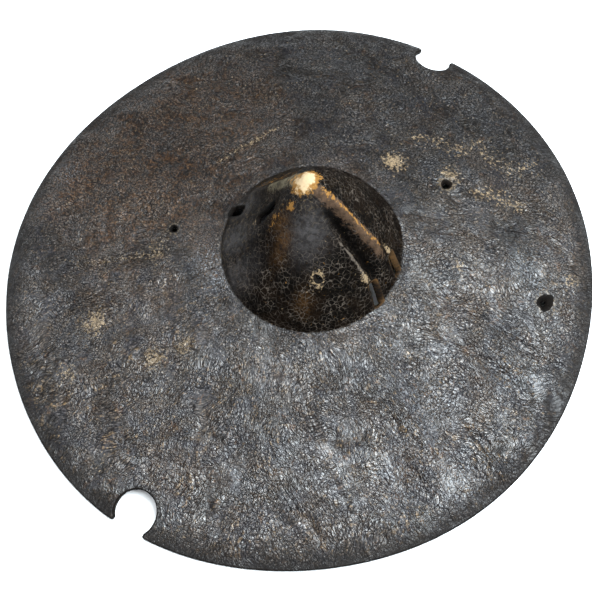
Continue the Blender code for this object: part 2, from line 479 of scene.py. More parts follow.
    def normal(self, x: Array, y: Array, detailed: bool = False) -> Array:
        """Unit normals of the outer face.

        Args:
            x: plan x of the points.
            y: plan y of the points.
            detailed: whether creases are counted.

        Returns:
            An array of N by 3.
        """
        rise = self.detailed if detailed else self.height
        step = 0.0008
        slope_x = (rise(x + step, y) - rise(x - step, y)) / (2.0 * step)
        slope_y = (rise(x, y + step) - rise(x, y - step)) / (2.0 * step)
        normal = np.stack([-slope_x, -slope_y, np.ones(np.shape(x))], axis=-1)
        return normal / np.linalg.norm(normal, axis=-1, keepdims=True)

    def boss_spot(self, reach: float, angle: Array | float) -> tuple[Array, Array]:
        """Find spots in plan on the boss.

        Args:
            reach: 0 at the boss's leaning axis and 1 at its foot.
            angle: the angle or angles round that axis.

        Returns:
            Plan x and y.
        """
        left = 1.0 - reach
        return (self.axis[0] + self.lean[0] * left + np.cos(angle) * self.radius * reach,
                self.axis[1] + self.lean[1] * left + np.sin(angle) * self.radius * reach)

    def flange_spot(self, share: float, angle: Array | float) -> tuple[Array, Array]:
        """Find spots in plan on the flange.

        Args:
            share: 0 at the foot of the boss and 1 at the rim.
            angle: the angle or angles round the origin.

        Returns:
            Plan x and y.
        """
        foot = self.foot(angle)
        out = foot + (self.rim(angle) - foot) * share
        return np.cos(angle) * out, np.sin(angle) * out


@dataclass
class Outline:
    """The edges of the hide in plan: the notched rim and every slot and hole.

    Each loop has the void on its right and lies a rounding's width inside the true edge.
    """

    form: HideForm
    edge_round: float = 0.0014
    rim_step: float = 0.0017
    hole_step: float = 0.0010
    slots: tuple = (
        ("slot_fold_near", -18.7, 0.0056, 0.020, 0.0100, -3.0, 0.0016, 0.0003, 0.62),
        ("slot_fold_far", 6.4, 0.0055, 0.020, 0.0095, -9.0, 0.0016, 0.0003, 0.55),
        ("slot_slit", -159.0, 0.0428, 0.031, 0.0078, 8.0, 0.0030, 0.0006, 0.0),
        ("slot_side", 177.5, 0.0070, 0.019, 0.0090, 0.0, 0.0030, 0.0004, 0.0),
        ("hole_boss", -58.9, 0.0253, 0.0060, 0.0052, 0.0, 0.0024, 0.0012, 0.45),
    )
    worn_holes: tuple = (
        ("hole_left", -171.6, 0.233, 0.0055, 0.0004, 0.15),
        ("hole_back", 52.6, 0.332, 0.0080, 0.0009, 0.25),
        ("hole_right", 15.1, 0.747, 0.0130, 0.0017, 0.66),
    )

    def holes(self) -> list[Hole]:
        """Every slot and hole, with its place in plan and the way that runs down the face there.

        Returns:
            The holes, those of the boss first.
        """
        found = []
        for name, degrees, inset, length, width, turn, corner, ragged, funnel in self.slots:
            angle = math.radians(degrees)
            spot = self.form.boss_spot(1.0 - inset / self.form.radius, angle)
            found.append(Hole(name, spot, (math.cos(angle), math.sin(angle)), length / 2, width / 2, turn,
                              corner, ragged, funnel))
        for name, degrees, share, across, ragged, funnel in self.worn_holes:
            angle = math.radians(degrees)
            spot = self.form.flange_spot(share, angle)
            found.append(Hole(name, spot, (math.cos(angle), math.sin(angle)), across / 2, across / 2, 0.0,
                              across / 2, ragged, funnel))
        return found

    def resample(self, points: Array, step: float) -> Array:
        """Space the points of a closed loop evenly.

        Args:
            points: the loop's points, N by 2.
            step: the spacing wanted.

        Returns:
            The new points, M by 2.
        """
        closed = np.vstack([points, points[:1]])
        run = np.concatenate([[0.0], np.cumsum(np.linalg.norm(np.diff(closed, axis=0), axis=1))])
        count = max(12, round(run[-1] / step))
        marks = np.linspace(0.0, run[-1], count, endpoint=False)
        return np.stack([np.interp(marks, run, closed[:, 0]), np.interp(marks, run, closed[:, 1])], axis=1)

    def rim_loop(self) -> Array:
        """The rim, anticlockwise, with its two notches and their rounded hooks.

        Returns:
            Its points, N by 2.
        """
        angles = np.linspace(-math.pi, math.pi, 1800, endpoint=False)
        radii = self.form.rim(angles) - self.edge_round
        loop = np.stack([np.cos(angles) * radii, np.sin(angles) * radii], axis=1)
        for degrees, half_width, half_depth, inset in (self.form.near_notch, self.form.far_notch):
            loop = self.cut_notch(loop, math.radians(degrees), half_width, half_depth, inset)
        return self.resample(loop, self.rim_step)

    def cut_notch(self, loop: Array, angle: float, half_width: float, half_depth: float,
                  inset: float) -> Array:
        """Cut a round notch into the rim and round the hooks that it leaves.

        Args:
            loop: the rim's points, anticlockwise.
            angle: angle of the notch round the origin, in radians.
            half_width: the notch's half-width along the rim.
            half_depth: its half-depth across the rim.
            inset: how far inside the rim its middle is.

        Returns:
            The new loop.
        """
        out = np.array([math.cos(angle), math.sin(angle)])
        side = np.array([-out[1], out[0]])
        middle = out * (float(self.form.rim(np.array(angle))) - inset)
        arm = loop - middle
        depth, width = half_depth + self.edge_round, half_width + self.edge_round
        outside = (arm @ out / depth) ** 2 + (arm @ side / width) ** 2 > 1.0
        start = int(np.flatnonzero(outside & ~np.roll(outside, 1))[0])
        loop, outside = np.roll(loop, -start, axis=0), np.roll(outside, -start)
        kept = loop[outside]
        last, first = kept[-1] - middle, kept[0] - middle
        begin = math.atan2(last @ side / width, last @ out / depth)
        end = math.atan2(first @ side / width, first @ out / depth)
        turns = np.linspace(begin, end - 2.0 * math.pi if end > begin else end, 90)[1:-1]
        arc = middle + np.outer(np.cos(turns) * depth, out) + np.outer(np.sin(turns) * width, side)
        joined = self.resample(np.vstack([kept, arc]), 0.0006)
        hooks = np.minimum(*(np.linalg.norm(joined - corner, axis=1) for corner in (kept[-1], kept[0])))
        ease = (smooth_step(0.0045, 0.0015, hooks) * 0.5)[:, None]
        for _ in range(10):
            between = 0.5 * (np.roll(joined, 1, axis=0) + np.roll(joined, -1, axis=0))
            joined = joined + ease * (between - joined)
        return joined

    def hole_loop(self, hole: Hole) -> Array:
        """The edge of one hole or slot in plan, clockwise.

        Args:
            hole: the hole.

        Returns:
            Its points, N by 2.
        """
        half_length = hole.half_length + self.edge_round
        half_width = hole.half_width + self.edge_round
        corner = min(hole.corner + self.edge_round, half_length, half_width)
        quarter = np.linspace(0.0, math.pi / 2.0, 8)
        corners = [(1, 1, 0.0), (-1, 1, 0.5), (-1, -1, 1.0), (1, -1, 1.5)]
        points = []
        for sign_x, sign_y, turn in corners:
            turns = quarter + turn * math.pi
            points.append(np.stack([sign_x * (half_length - corner) + corner * np.cos(turns),
                                    sign_y * (half_width - corner) + corner * np.sin(turns)], axis=1))
        flat = self.resample(np.vstack(points)[::-1], self.hole_step)
        angles = np.arctan2(flat[:, 1], flat[:, 0])
        seed = sum(map(ord, hole.name))
        rough = sum(np.cos(count * angles + seed * count) / count for count in (2, 3, 5, 7, 11))
        size = np.linalg.norm(flat, axis=1, keepdims=True)
        flat = flat * (1.0 + hole.ragged * rough[:, None] / size)
        return self.project(hole, flat)

    def project(self, hole: Hole, flat: Array) -> Array:
        """Drop a flat outline onto the face along the hole's own direction.

        Args:
            hole: the hole.
            flat: points of the outline, first down the face and then across it.

        Returns:
            The points in plan, N by 2.
        """
        place = self.place(hole)
        points = (place[:3, :3] @ np.vstack([flat.T, np.zeros(len(flat))])).T + place[:3, 3]
        out = place[:3, 2]
        for _ in range(12):
            gap = self.form.height(points[:, 0], points[:, 1]) - points[:, 2]
            points = points + np.outer(gap * out[2], out)
        return points[:, :2]

    def place(self, hole: Hole) -> Array:
        """Matrix on the outer face at a hole: X down the face, Z out of it.

        Args:
            hole: the hole.

        Returns:
            The matrix, 4 by 4.
        """
        x, y = np.array([hole.spot[0]]), np.array([hole.spot[1]])
        normal = Vector(self.form.normal(x, y)[0])
        across = normal.cross(Vector((hole.away[0], hole.away[1], 0.0))).normalized()
        axes = Matrix((across.cross(normal), across, normal)).transposed()
        turned = axes.to_4x4() @ Matrix.Rotation(math.radians(hole.turn), 4, "Z")
        matrix = np.array(turned)
        matrix[:3, 3] = (hole.spot[0], hole.spot[1], float(self.form.height(x, y)[0]))
        return matrix

    def loops(self) -> list[Array]:
        """The rim's loop first, and then each hole's."""
        return [self.rim_loop()] + [self.hole_loop(hole) for hole in self.holes()]


@dataclass
class HideMesh:
    """The closed mesh of the hide: outer face, rounded cut edges and inner face, with masks for finishes."""

    form: HideForm
    outline: Outline
    outer_step: float = 0.0021
    boss_step: float = 0.0015
    inner_step: float = 0.0048
    far_side: float = 40.0
    seed: int = 11
    wear_spots: tuple = (
        (0.0404, 0.1186, 0.0075, 0.9), (0.0891, 0.1275, 0.0070, 0.8), (0.1291, 0.1296, 0.0060, 0.5),
        (0.2208, 0.0874, 0.0060, 0.5), (0.1300, 0.0492, 0.0040, 0.6), (-0.1394, -0.1151, 0.0090, 0.7),
        (-0.0751, -0.1278, 0.0070, 0.8), (-0.0537, -0.1101, 0.0060, 0.6), (-0.1424, -0.1643, 0.0080, 0.5),
        (-0.1147, -0.0395, 0.0080, 0.5), (0.0687, -0.0136, 0.0030, 0.8), (0.0748, 0.0197, 0.0028, 0.8),
        (-0.0330, -0.0030, 0.0028, 0.6),
    )
    tip_wear: float = 0.0065
    # Stripes along the folds: crest, crest_line and left_crest carry painted highlights, the first two
    # together with rubbed colour, and hollow carries painted shade.
    fold_lines: tuple[FoldLine, ...] = (
        FoldLine("crest", 0, 0.0038, (-0.15, 0.05), (1.15, 0.75)),
        FoldLine("crest_line", 0, 0.0017, (-0.1, 0.1), (1.1, 0.7), 0.0022, 0.66),
        FoldLine("shoulder", 2, 0.0013, (0.1, 0.4), (1.1, 0.9), 0.0, 0.8),
        FoldLine("left_crest", 3, 0.0050, (-0.3, 0.0), (0.9, 0.2)),
        FoldLine("hollow", 1, 0.0028, (-0.1, 0.15), (1.1, 0.8), 0.0016),
    )
    wear_lines: tuple = (
        (mm((49, 155), (67, 161), (84, 158), (97, 176), (119, 166), (135, 161), (151, 183)), 0.0065, 0.36),
        (mm((119, 126), (130, 128), (143, 129), (155, 132)), 0.0060, 0.46),
    )
    # Spots of painted highlight on the flange, each as x, y, size and strength.
    gleam_spots: tuple = (
        (-0.0672, -0.0364, 0.012, 0.9), (-0.0520, -0.0470, 0.011, 0.9), (0.0968, -0.0390, 0.014, 0.6),
        (0.1527, -0.0694, 0.018, 0.8), (0.1451, -0.1363, 0.016, 0.7), (0.1926, -0.1135, 0.018, 0.8),
        (0.1841, 0.0737, 0.016, 0.8), (0.2027, -0.0133, 0.018, 0.7), (0.1487, -0.1069, 0.015, 0.7),
        (-0.2380, 0.0100, 0.012, 0.6),
    )
    # Spots of painted sheen and a glossier film on the boss, each as x, y, size and strength.
    sheen_spots: tuple = ((0.0180, -0.0110, 0.0110, 0.9), (-0.0500, -0.0150, 0.0110, 0.8),
                          (-0.0350, -0.0420, 0.0110, 0.6), (-0.0560, 0.0200, 0.0120, 0.7))
    brown_spots: tuple = ((-0.0060, -0.0088, 0.0042, 0.9), (0.0000, -0.0190, 0.0048, 0.9),
                          (-0.0010, -0.0270, 0.0050, 0.6), (0.0300, -0.0500, 0.0050, 0.5))
    # Golden spots on the boss, partly painted highlight, each as x, y, size and strength.
    gilt_spots: tuple = (
        (-0.0013, 0.0002, 0.0026, 0.9), (-0.0060, 0.0200, 0.0040, 0.7), (0.0120, 0.0230, 0.0040, 0.8),
        (-0.0140, -0.0060, 0.0050, 0.45), (-0.0120, 0.0320, 0.0060, 0.5), (-0.0260, 0.0360, 0.0060, 0.45),
        (-0.0400, 0.0440, 0.0060, 0.45), (-0.0520, 0.0440, 0.0050, 0.35),
    )

    def rings(self, sizes: list[tuple[float, int]], spot: Any) -> Array:
        """Points on rings, each ring turned by a chance amount.

        Args:
            sizes: for each ring its share of the way out and its number of points.
            spot: a function that gives plan x and y for one ring's share and angles.

        Returns:
            The points, N by 2.
        """
        chance = np.random.default_rng(self.seed)
        found = []
        for share, count in sizes:
            angles = (np.arange(count) + chance.random()) * (2.0 * math.pi / count)
            angles += chance.normal(0.0, 0.08 * 2.0 * math.pi / count, count)
            found.append(np.stack(spot(share, angles), axis=1))
        return np.vstack(found)

    def spread(self, step: float, boss_step: float) -> Array:
        """Points in plan over the whole hide, evenly spaced on its surface.

        Args:
            step: spacing on the flange.
            boss_step: spacing on the side of the boss.

        Returns:
            The points, N by 2.
        """
        form = self.form
        boss_count = round(form.radius * math.hypot(1.0, form.slope) / boss_step)
        shares = [(index + 0.5) / boss_count for index in range(boss_count)]
        boss = [(share, max(6, round(2.0 * math.pi * share * form.radius / boss_step))) for share in shares]
        width = form.mean_rim - form.radius
        flange_count = round(width / (step * 0.93))
        shares = [(index + 0.5) / flange_count for index in range(flange_count)]
        flange = [(share, round(2.0 * math.pi * (form.radius + width * share) / step)) for share in shares]
        return np.vstack([self.rings(boss, form.boss_spot), self.rings(flange, form.flange_spot)])

    def clear_of(self, points: Array, loops: list[Array], gap: float) -> Array:
        """Keep the points that lie in the hide and clear of its edges.

        Args:
            points: plan points.
            loops: the edges.
            gap: the least distance from an edge's points.

        Returns:
            The points kept.
        """
        points = points[gaps(points, np.vstack(loops)) > gap]
        kept = inside(points, loops[0])
        for loop in loops[1:]:
            near = np.linalg.norm(points - loop.mean(axis=0), axis=1) < 0.03
            kept[near] &= ~inside(points[near], loop)
        return points[kept]

    def triangulate(self, points: Array, loops: list[Array]) -> tuple[Array, Array]:
        """Join plan points into triangles between the edges.

        Args:
            points: the inner points.
            loops: the edges.

        Returns:
            All points, the loops' first, and the triangles, anticlockwise.
        """
        every = np.vstack([*loops, points])
        rails = []
        for loop in loops:
            start, count = len(rails), len(loop)
            rails += [(start + index, start + (index + 1) % count) for index in range(count)]
        result = delaunay_2d_cdt([Vector(point) for point in every], rails, [], 0, 1e-9)
        source = [origin[0] for origin in result[3]]
        faces = np.array([[source[index] for index in face] for face in result[2]])
        judged = np.flatnonzero(np.all(faces < len(rails), axis=1))
        middles = every[faces[judged]].mean(axis=1)
        solid = inside(middles, loops[0])
        for loop in loops[1:]:
            solid &= ~inside(middles, loop)
        faces = np.delete(faces, judged[~solid], axis=0)
        corners = every[faces]
        first, second = corners[:, 1] - corners[:, 0], corners[:, 2] - corners[:, 0]
        wrong = first[:, 0] * second[:, 1] - first[:, 1] * second[:, 0] < 0.0
        faces[wrong] = faces[wrong][:, ::-1]
        return every, faces

    def edge_rows(self, loop: Array, top: Array, funnel: float,
                  across: Array | None) -> tuple[list[Array], Array]:
        """Rows of points from the outer face round a cut edge, and the inner face's loop.

        Args:
            loop: the edge's loop in plan.
            top: its points on the outer face.
            funnel: share by which the edge closes towards the inner face.
            across: the only direction in which a slot closes, or None.

        Returns:
            The rows between the faces from the top down, and the inner face's points.
        """
        form, size = self.form, self.outline.edge_round
        normal = form.normal(loop[:, 0], loop[:, 1])
        run = np.roll(top, -1, axis=0) - np.roll(top, 1, axis=0)
        out = np.cross(run, normal)
        out /= np.linalg.norm(out, axis=1, keepdims=True)
        deep = form.thickness
        steps = ((0.55, 0.17), (0.95, 0.72), (1.05, deep / size * 0.5), (0.95, deep / size - 0.72),
                 (0.55, deep / size - 0.17))
        low = top - normal * deep
        closing = (low.mean(axis=0) - low) * funnel
        if across is not None:
            closing = np.outer(closing @ across, across)
        rows = [top + out * (size * away) - normal * (size * down) + closing * (size * down / deep)
                for away, down in steps]
        return rows, low + closing

    def strips(self, loops: list[Array], top: Array) -> list[tuple[list[Array], Array]]:
        """The cut edge of the rim and of every hole.

        Args:
            loops: the edges in plan.
            top: the points of the outer face, the edges' first.

        Returns:
            For each edge its rows between the faces and its points on the inner face.
        """
        found = []
        start = 0
        for loop, hole in zip(loops, [None] + self.outline.holes()):
            funnel = hole.funnel if hole else 0.0
            is_slot = hole is not None and hole.half_length > hole.half_width * 1.5
            across = self.outline.place(hole)[:3, 1] if is_slot else None
            found.append(self.edge_rows(loop, top[start:start + len(loop)], funnel, across))
            start += len(loop)
        return found

    def inner_face(self, lows: list[Array]) -> tuple[Array, Array]:
        """The inner face, a wall's thickness under the plain form.

        Args:
            lows: the edges' points on it.

        Returns:
            Its points, the edges' first, and its triangles, which face down.
        """
        form, step, loops = self.form, self.inner_step, [low[:, :2] for low in lows]
        plan, faces = self.triangulate(self.clear_of(self.spread(step, step * 0.8), loops, step * 0.5), loops)
        x, y = plan.T
        points = np.column_stack([plan, form.height(x, y) - form.thickness / form.normal(x, y)[:, 2]])
        edge = np.vstack(lows)
        points[:len(edge)] = edge
        return points, faces[:, ::-1]

    def build(self) -> bpy.types.Object:
        """Make the hide's mesh object, with its masks as attributes.

        Returns:
            The object, linked to the scene.
        """
        form, step = self.form, self.outer_step
        loops = self.outline.loops()
        points = self.clear_of(self.spread(step, self.boss_step), loops, step * 0.55)
        plan, outer_faces = self.triangulate(points, loops)
        outer = np.column_stack([plan, form.detailed(*plan.T)])
        on_boss = form.boss_polar(*plan[outer_faces].mean(axis=1).T)[0] < 1.0
        strips = self.strips(loops, outer)
        inner, inner_faces = self.inner_face([low for _, low in strips])
        blocks, squares = [outer, inner], []
        size = faces_end = len(outer) + len(inner)
        start = 0
        for loop, (rows, _) in zip(loops, strips):
            count = len(loop)
            firsts = [start, *range(size, size + count * len(rows), count), len(outer) + start]
            ids = [np.arange(first, first + count) for first in firsts]
            squares += [np.stack([upper, lower, np.roll(lower, -1), np.roll(upper, -1)], axis=1)
                        for upper, lower in zip(ids, ids[1:])]
            blocks += rows
            size += count * len(rows)
            start += count
        points = np.vstack(blocks)
        points[:, 2] = np.maximum(points[:, 2], 0.0)
        triangles, squares = np.vstack([outer_faces, inner_faces + len(outer)]), np.vstack(squares)
        mesh = bpy.data.meshes.new("moulded_hide")
        mesh.from_pydata(points.tolist(), [], triangles.tolist() + squares.tolist())
        self.add_masks(mesh, points, len(outer), faces_end, np.vstack(loops))
        kinds = np.concatenate([np.where(on_boss, Side.BOSS.value, Side.FLANGE.value),
                                np.full(len(inner_faces), Side.FLESH.value),
                                np.full(len(squares), Side.CUT.value)])
        for name, kind in (("cut_edge", Side.CUT), ("flesh_side", Side.FLESH), ("boss_side", Side.BOSS)):
            layer = mesh.attributes.new(name, "BOOLEAN", "FACE")
            layer.data.foreach_set("value", (kinds == kind.value))
        mesh.update()
        shield = bpy.data.objects.new("moulded_hide", mesh)
        bpy.context.scene.collection.objects.link(shield)
        return shield

    def spotted(self, x: Array, y: Array, spots: tuple) -> Array:
        """A mask of soft round spots, each given as x, y, size and strength.

        Args:
            x: plan x of the points.
            y: plan y of the points.
            spots: the spots.

        Returns:
            The mask's value at each point.
        """
        mask = np.zeros(len(x))
        for spot_x, spot_y, size, strength in spots:
            mask = np.maximum(mask, strength * bell(np.hypot(x - spot_x, y - spot_y), size))
        return mask

    def add_masks(self, mesh: bpy.types.Mesh, points: Array, outer: int, faces_end: int, edge: Array) -> None:
        """Store where each finish shows, as point attributes.

        Args:
            mesh: the hide's mesh.
            points: its points.
            outer: how many points belong to the outer face, which come first.
            faces_end: where the points of the two faces end and those of the cut edges begin.
            edge: plan points of every edge.
        """
        x, y, z = points.T
        away = gaps(points, edge)
        away[faces_end:] = 0.0
        on_top = np.zeros(len(x))
        on_top[:outer] = 1.0
        on_top[faces_end:] = 0.6
        relief = on_top * (0.25 + 0.75 * smooth_step(0.0, 0.006, away)) * smooth_step(0.0, 0.006, z)
        relief[outer:faces_end] = 0.5 * smooth_step(0.004, 0.020, z[outer:faces_end])
        masks = {"relief": relief, "edge": smooth_step(0.0060, 0.0010, away),
                 "rim": smooth_step(0.024, 0.003, self.form.rim(np.arctan2(y, x)) - np.hypot(x, y)),
                 "worn": self.worn(x, y), **self.boss_masks(x, y), **self.crease_masks(x, y)}
        for name, values in masks.items():
            layer = mesh.attributes.new(name, "FLOAT", "POINT")
            layer.data.foreach_set("value", values.astype(np.float32))

    def boss_masks(self, x: Array, y: Array) -> dict[str, Array]:
        """Find where the boss, its worn tip, its folds and its coloured spots are.

        Args:
            x: plan x of the points.
            y: plan y of the points.

        Returns:
            The masks by name.
        """
        form = self.form
        reach, bearing = form.boss_polar(x, y)
        boss = smooth_step(1.015, 0.985, reach)
        tip_x, tip_y = form.boss_spot(0.0, 0.0)
        near = smooth_step(1.75, 1.05, turn_from(bearing, form.cheek_angle)) * smooth_step(0.10, 0.50, reach)
        far = 0.85 * smooth_step(1.4, 0.8, turn_from(bearing, self.far_side))
        masks = {"boss": boss, "dull": boss * np.maximum(near, far),
                 "apex": bell(np.hypot(x - tip_x, y - tip_y), self.tip_wear)}
        for name, spots in (("gilt", self.gilt_spots), ("gleam", self.gleam_spots),
                            ("sheen", self.sheen_spots), ("brown", self.brown_spots)):
            masks[name] = self.spotted(x, y, spots)
        for line in self.fold_lines:
            across, along = form.fold_place(x, y, form.folds[line.fold])
            ends = smooth_step(*line.starts, along) * smooth_step(*line.stops, along)
            masks[line.name] = line.strength * bell(across + line.shift, line.width) * ends
        fresh = [smooth_step(0.020, 0.012, np.hypot(x - hole.spot[0], y - hole.spot[1]))
                 for hole in self.outline.holes()[:2]]
        masks["fresh"] = np.maximum(*fresh)
        return masks

    def worn(self, x: Array, y: Array) -> Array:
        """Find where the surface is worn pale: in spots, round the holes, along ridges and beside creases.

        Args:
            x: plan x of the points.
            y: plan y of the points.

        Returns:
            The mask.
        """
        worn = self.spotted(x, y, self.wear_spots)
        for hole in self.outline.holes():
            gap = np.hypot(x - hole.spot[0], y - hole.spot[1]) - hole.half_width
            if hole.name.startswith("hole"):
                strength = 1.0 if hole.name == "hole_back" else 0.62
                worn = np.maximum(worn, strength * bell(np.maximum(gap, 0.0), 0.0030))
        for line, width, strength in self.wear_lines:
            worn = np.maximum(worn, strength * bell(to_line(x, y, line)[0], width))
        for crease in self.form.creases:
            signed, along = to_line(x, y, crease.line)
            ends = smooth_step(0.0, 0.15, along) * smooth_step(1.0, 0.85, along)
            worn = np.maximum(worn, crease.pale * bell(signed - crease.half_width, 0.0016) * ends)
        return worn

    def crease_masks(self, x: Array, y: Array) -> dict[str, Array]:
        """Find the bands of small wrinkles beside the creases, and the places across and along each band.

        Args:
            x: plan x of the points.
            y: plan y of the points.

        Returns:
            The masks by name. The band fades where two bands meet, so that their wrinkles don't cut.
        """
        band, second, across, run = (np.zeros(len(x)) for _ in range(4))
        for index, crease in enumerate(self.form.creases):
            if crease.band == 0.0:
                continue
            signed, along = to_line(x, y, crease.line)
            strength = bell(signed, crease.band) * smooth_step(0.0, 0.2, along) * smooth_step(1.0, 0.8, along)
            stronger = strength > band
            second = np.maximum(second, np.minimum(strength, band))
            across = np.where(stronger, signed, across)
            length = sum(math.dist(a, b) for a, b in zip(crease.line, crease.line[1:]))
            run = np.where(stronger, along * length + index, run)
            band = np.maximum(band, strength)
        return {"band": band - second, "across": across, "run": run}


def inside(points: Array, loop: Array) -> Array:
    """Tell which points lie inside a loop.

    Args:
        points: plan points, N by 2.
        loop: the loop's points, M by 2.

    Returns:
        N truth values.
    """
    found = np.zeros(len(points), bool)
    x, y = points[:, 0], points[:, 1]
    for (ax, ay), (bx, by) in zip(loop, np.roll(loop, -1, axis=0)):
        if ay == by:
            continue
        crosses = (ay > y) != (by > y)
        found ^= crosses & (x < (bx - ax) * (y - ay) / (by - ay) + ax)
    return found


@dataclass
class NodeBench:
    """Adds nodes to one tree and joins them.

    A flat bench reads its patterns in plan only. The flow of the hide sways by an amount over a size, and its
    marks have their stated width at the middle reach from the shield's centre.
    """

    tree: bpy.types.NodeTree
    flat: bool = False
    middle_reach: float = 0.17
    sway_size: float = 0.055
    sway: float = 0.016

    def add(self, kind: str, inputs: dict[Any, Any] | None = None, **settings: Any) -> bpy.types.Node:
        """Add a node.

        Args:
            kind: the node's type name.
            inputs: for each input its name or place, and a value or a socket to join to it.
            settings: the node's own properties.

        Returns:
            The node.
        """
        node = self.tree.nodes.new(kind)
        for name, value in settings.items():
            setattr(node, name, value)
        for name, value in (inputs or {}).items():
            if isinstance(value, Socket):
                self.tree.links.new(value, node.inputs[name])
            else:
                node.inputs[name].default_value = value
        return node

    def math(self, operation: str, first: Any, second: Any = 0.0) -> Socket:
        """One step of arithmetic on values or sockets."""
        return self.add("ShaderNodeMath", {0: first, 1: second}, operation=operation).outputs[0]

    def vector(self, operation: str, first: Any, second: Any = (0.0, 0.0, 0.0)) -> Socket:
        """One step of arithmetic on vectors.

        Args:
            operation: the node's operation.
            first: a vector.
            second: another vector, or a number for SCALE.

        Returns:
            A vector's socket, or a value's where the operation gives one.
        """
        node = self.add("ShaderNodeVectorMath", {0: first, 3 if operation == "SCALE" else 1: second},
                        operation=operation)
        return node.outputs["Value" if operation in ("DOT_PRODUCT", "LENGTH", "DISTANCE") else "Vector"]

    def spread(self, value: Any) -> Socket:
        """A value from 0..1 spread to -1..1."""
        return self.add("ShaderNodeMath", {0: value, 1: 2.0, 2: -1.0}, operation="MULTIPLY_ADD").outputs[0]

    def rest(self, value: Any) -> Socket:
        """What a value leaves of 1."""
        return self.math("SUBTRACT", 1.0, value)

    def times(self, first: Any, second: Any) -> Socket:
        """Product of two values."""
        return self.math("MULTIPLY", first, second)

    def plus(self, first: Any, second: Any) -> Socket:
        """Sum of two values."""
        return self.math("ADD", first, second)

    def larger(self, first: Any, second: Any) -> Socket:
        """The larger of two values."""
        return self.math("MAXIMUM", first, second)

    def ramp(self, value: Any, low: float, high: float, start: float = 0.0, end: float = 1.0) -> Socket:
        """Map a value smoothly from low..high to start..end.

        Args:
            value: the value.
            low: where the result is start.
            high: where the result is end.
            start: the first result.
            end: the last result.

        Returns:
            The result's socket.
        """
        node = self.add("ShaderNodeMapRange", {0: value, 1: low, 2: high, 3: start, 4: end},
                        interpolation_type="SMOOTHSTEP")
        return node.outputs[0]

    def noise(self, vector: Any, cell: float, detail: float = 3.0, rough: float = 0.55, bend: float = 0.0,
              shift: float = 0.0) -> Socket:
        """Cloudy noise from 0 to 1.

        Args:
            vector: where it is read.
            cell: size of a cloud, in metres.
            detail: layers of finer clouds.
            rough: how strong the finer clouds are.
            bend: how far the clouds are bent.
            shift: moves the pattern to another place, in metres.

        Returns:
            The value's socket.
        """
        if shift:
            vector = self.vector("ADD", vector, (shift, shift, shift))
        return self.cloud({"Vector": vector, "Scale": 1.0 / cell, "Detail": detail, "Roughness": rough,
                           "Distortion": bend}).outputs[0]

    def cloud(self, inputs: dict[Any, Any]) -> bpy.types.Node:
        """A noise node, read in plan or in space."""
        return self.add("ShaderNodeTexNoise", inputs, noise_dimensions="2D" if self.flat else "3D")

    def bent(self, vector: Any, cell: float, amount: float) -> Socket:
        """Coordinates pushed about by noise of a cell size, by an amount in metres."""
        push = self.cloud({"Vector": vector, "Scale": 1.0 / cell, "Detail": 2.0}).outputs["Color"]
        return self.vector("ADD", vector, self.vector("SCALE", push, amount * 2.0))

    def cells(self, vector: Any, scale: Any) -> Socket:
        """Distance from the borders between chance cells.

        Args:
            vector: where it is read.
            scale: cells to a unit of length.

        Returns:
            The distance's socket.
        """
        node = self.add("ShaderNodeTexVoronoi", {"Vector": vector, "Scale": scale},
                        feature="DISTANCE_TO_EDGE", voronoi_dimensions="2D" if self.flat else "3D")
        return node.outputs["Distance"]

    def flow(self, vector: Any, width: float, ratio: float) -> Socket:
        """Coordinates in plan that run out from the boss.

        Args:
            vector: the place, in metres.
            width: width of a mark across the flow.
            ratio: how many times as long as wide a mark is.

        Returns:
            The coordinates' socket.
        """
        parts = self.add("ShaderNodeSeparateXYZ", {0: self.bent(vector, self.sway_size, self.sway)}).outputs
        flat = self.add("ShaderNodeCombineXYZ", {0: parts[0], 1: parts[1]}).outputs[0]
        away = self.times(self.vector("LENGTH", flat), 1.0 / self.middle_reach)
        reach = self.times(self.math("POWER", away, 1.0 / ratio), self.middle_reach / width)
        return self.vector("SCALE", self.vector("NORMALIZE", flat), reach)

    def furrow(self, vector: Any, scale: float, detail: float, width: float) -> Socket:
        """Long curving lines, 0 in the line and 1 away from it."""
        noise = self.cloud({"Vector": vector, "Scale": scale, "Detail": detail}).outputs[0]
        return self.ramp(self.math("ABSOLUTE", self.spread(noise)), 0.0, width)

    def mix(self, share: Any, first: Any, second: Any, blend: str = "MIX") -> Socket:
        """Mix two colours."""
        node = self.add("ShaderNodeMix", {0: share, 6: first, 7: second}, data_type="RGBA", blend_type=blend)
        return node.outputs[2]

    def layer(self, name: str) -> Socket:
        """A mask that is stored on the mesh."""
        return self.add("ShaderNodeAttribute", attribute_name=name).outputs["Fac"]

    def stretched(self, vector: Any, turn: float, scale: tuple[float, float, float]) -> Socket:
        """Object coordinates, turned about Z and stretched."""
        inputs = {"Vector": vector, "Rotation": (0.0, 0.0, math.radians(turn)), "Scale": scale}
        return self.add("ShaderNodeMapping", inputs).outputs[0]

    def toward_folds(self, vector: Any, low: float, high: float, start: float, end: float) -> Socket:
        """Ramp towards the side of the shield that was folded most."""
        return self.ramp(self.vector("DOT_PRODUCT", vector, FOLDED_WAY), low, high, start, end)


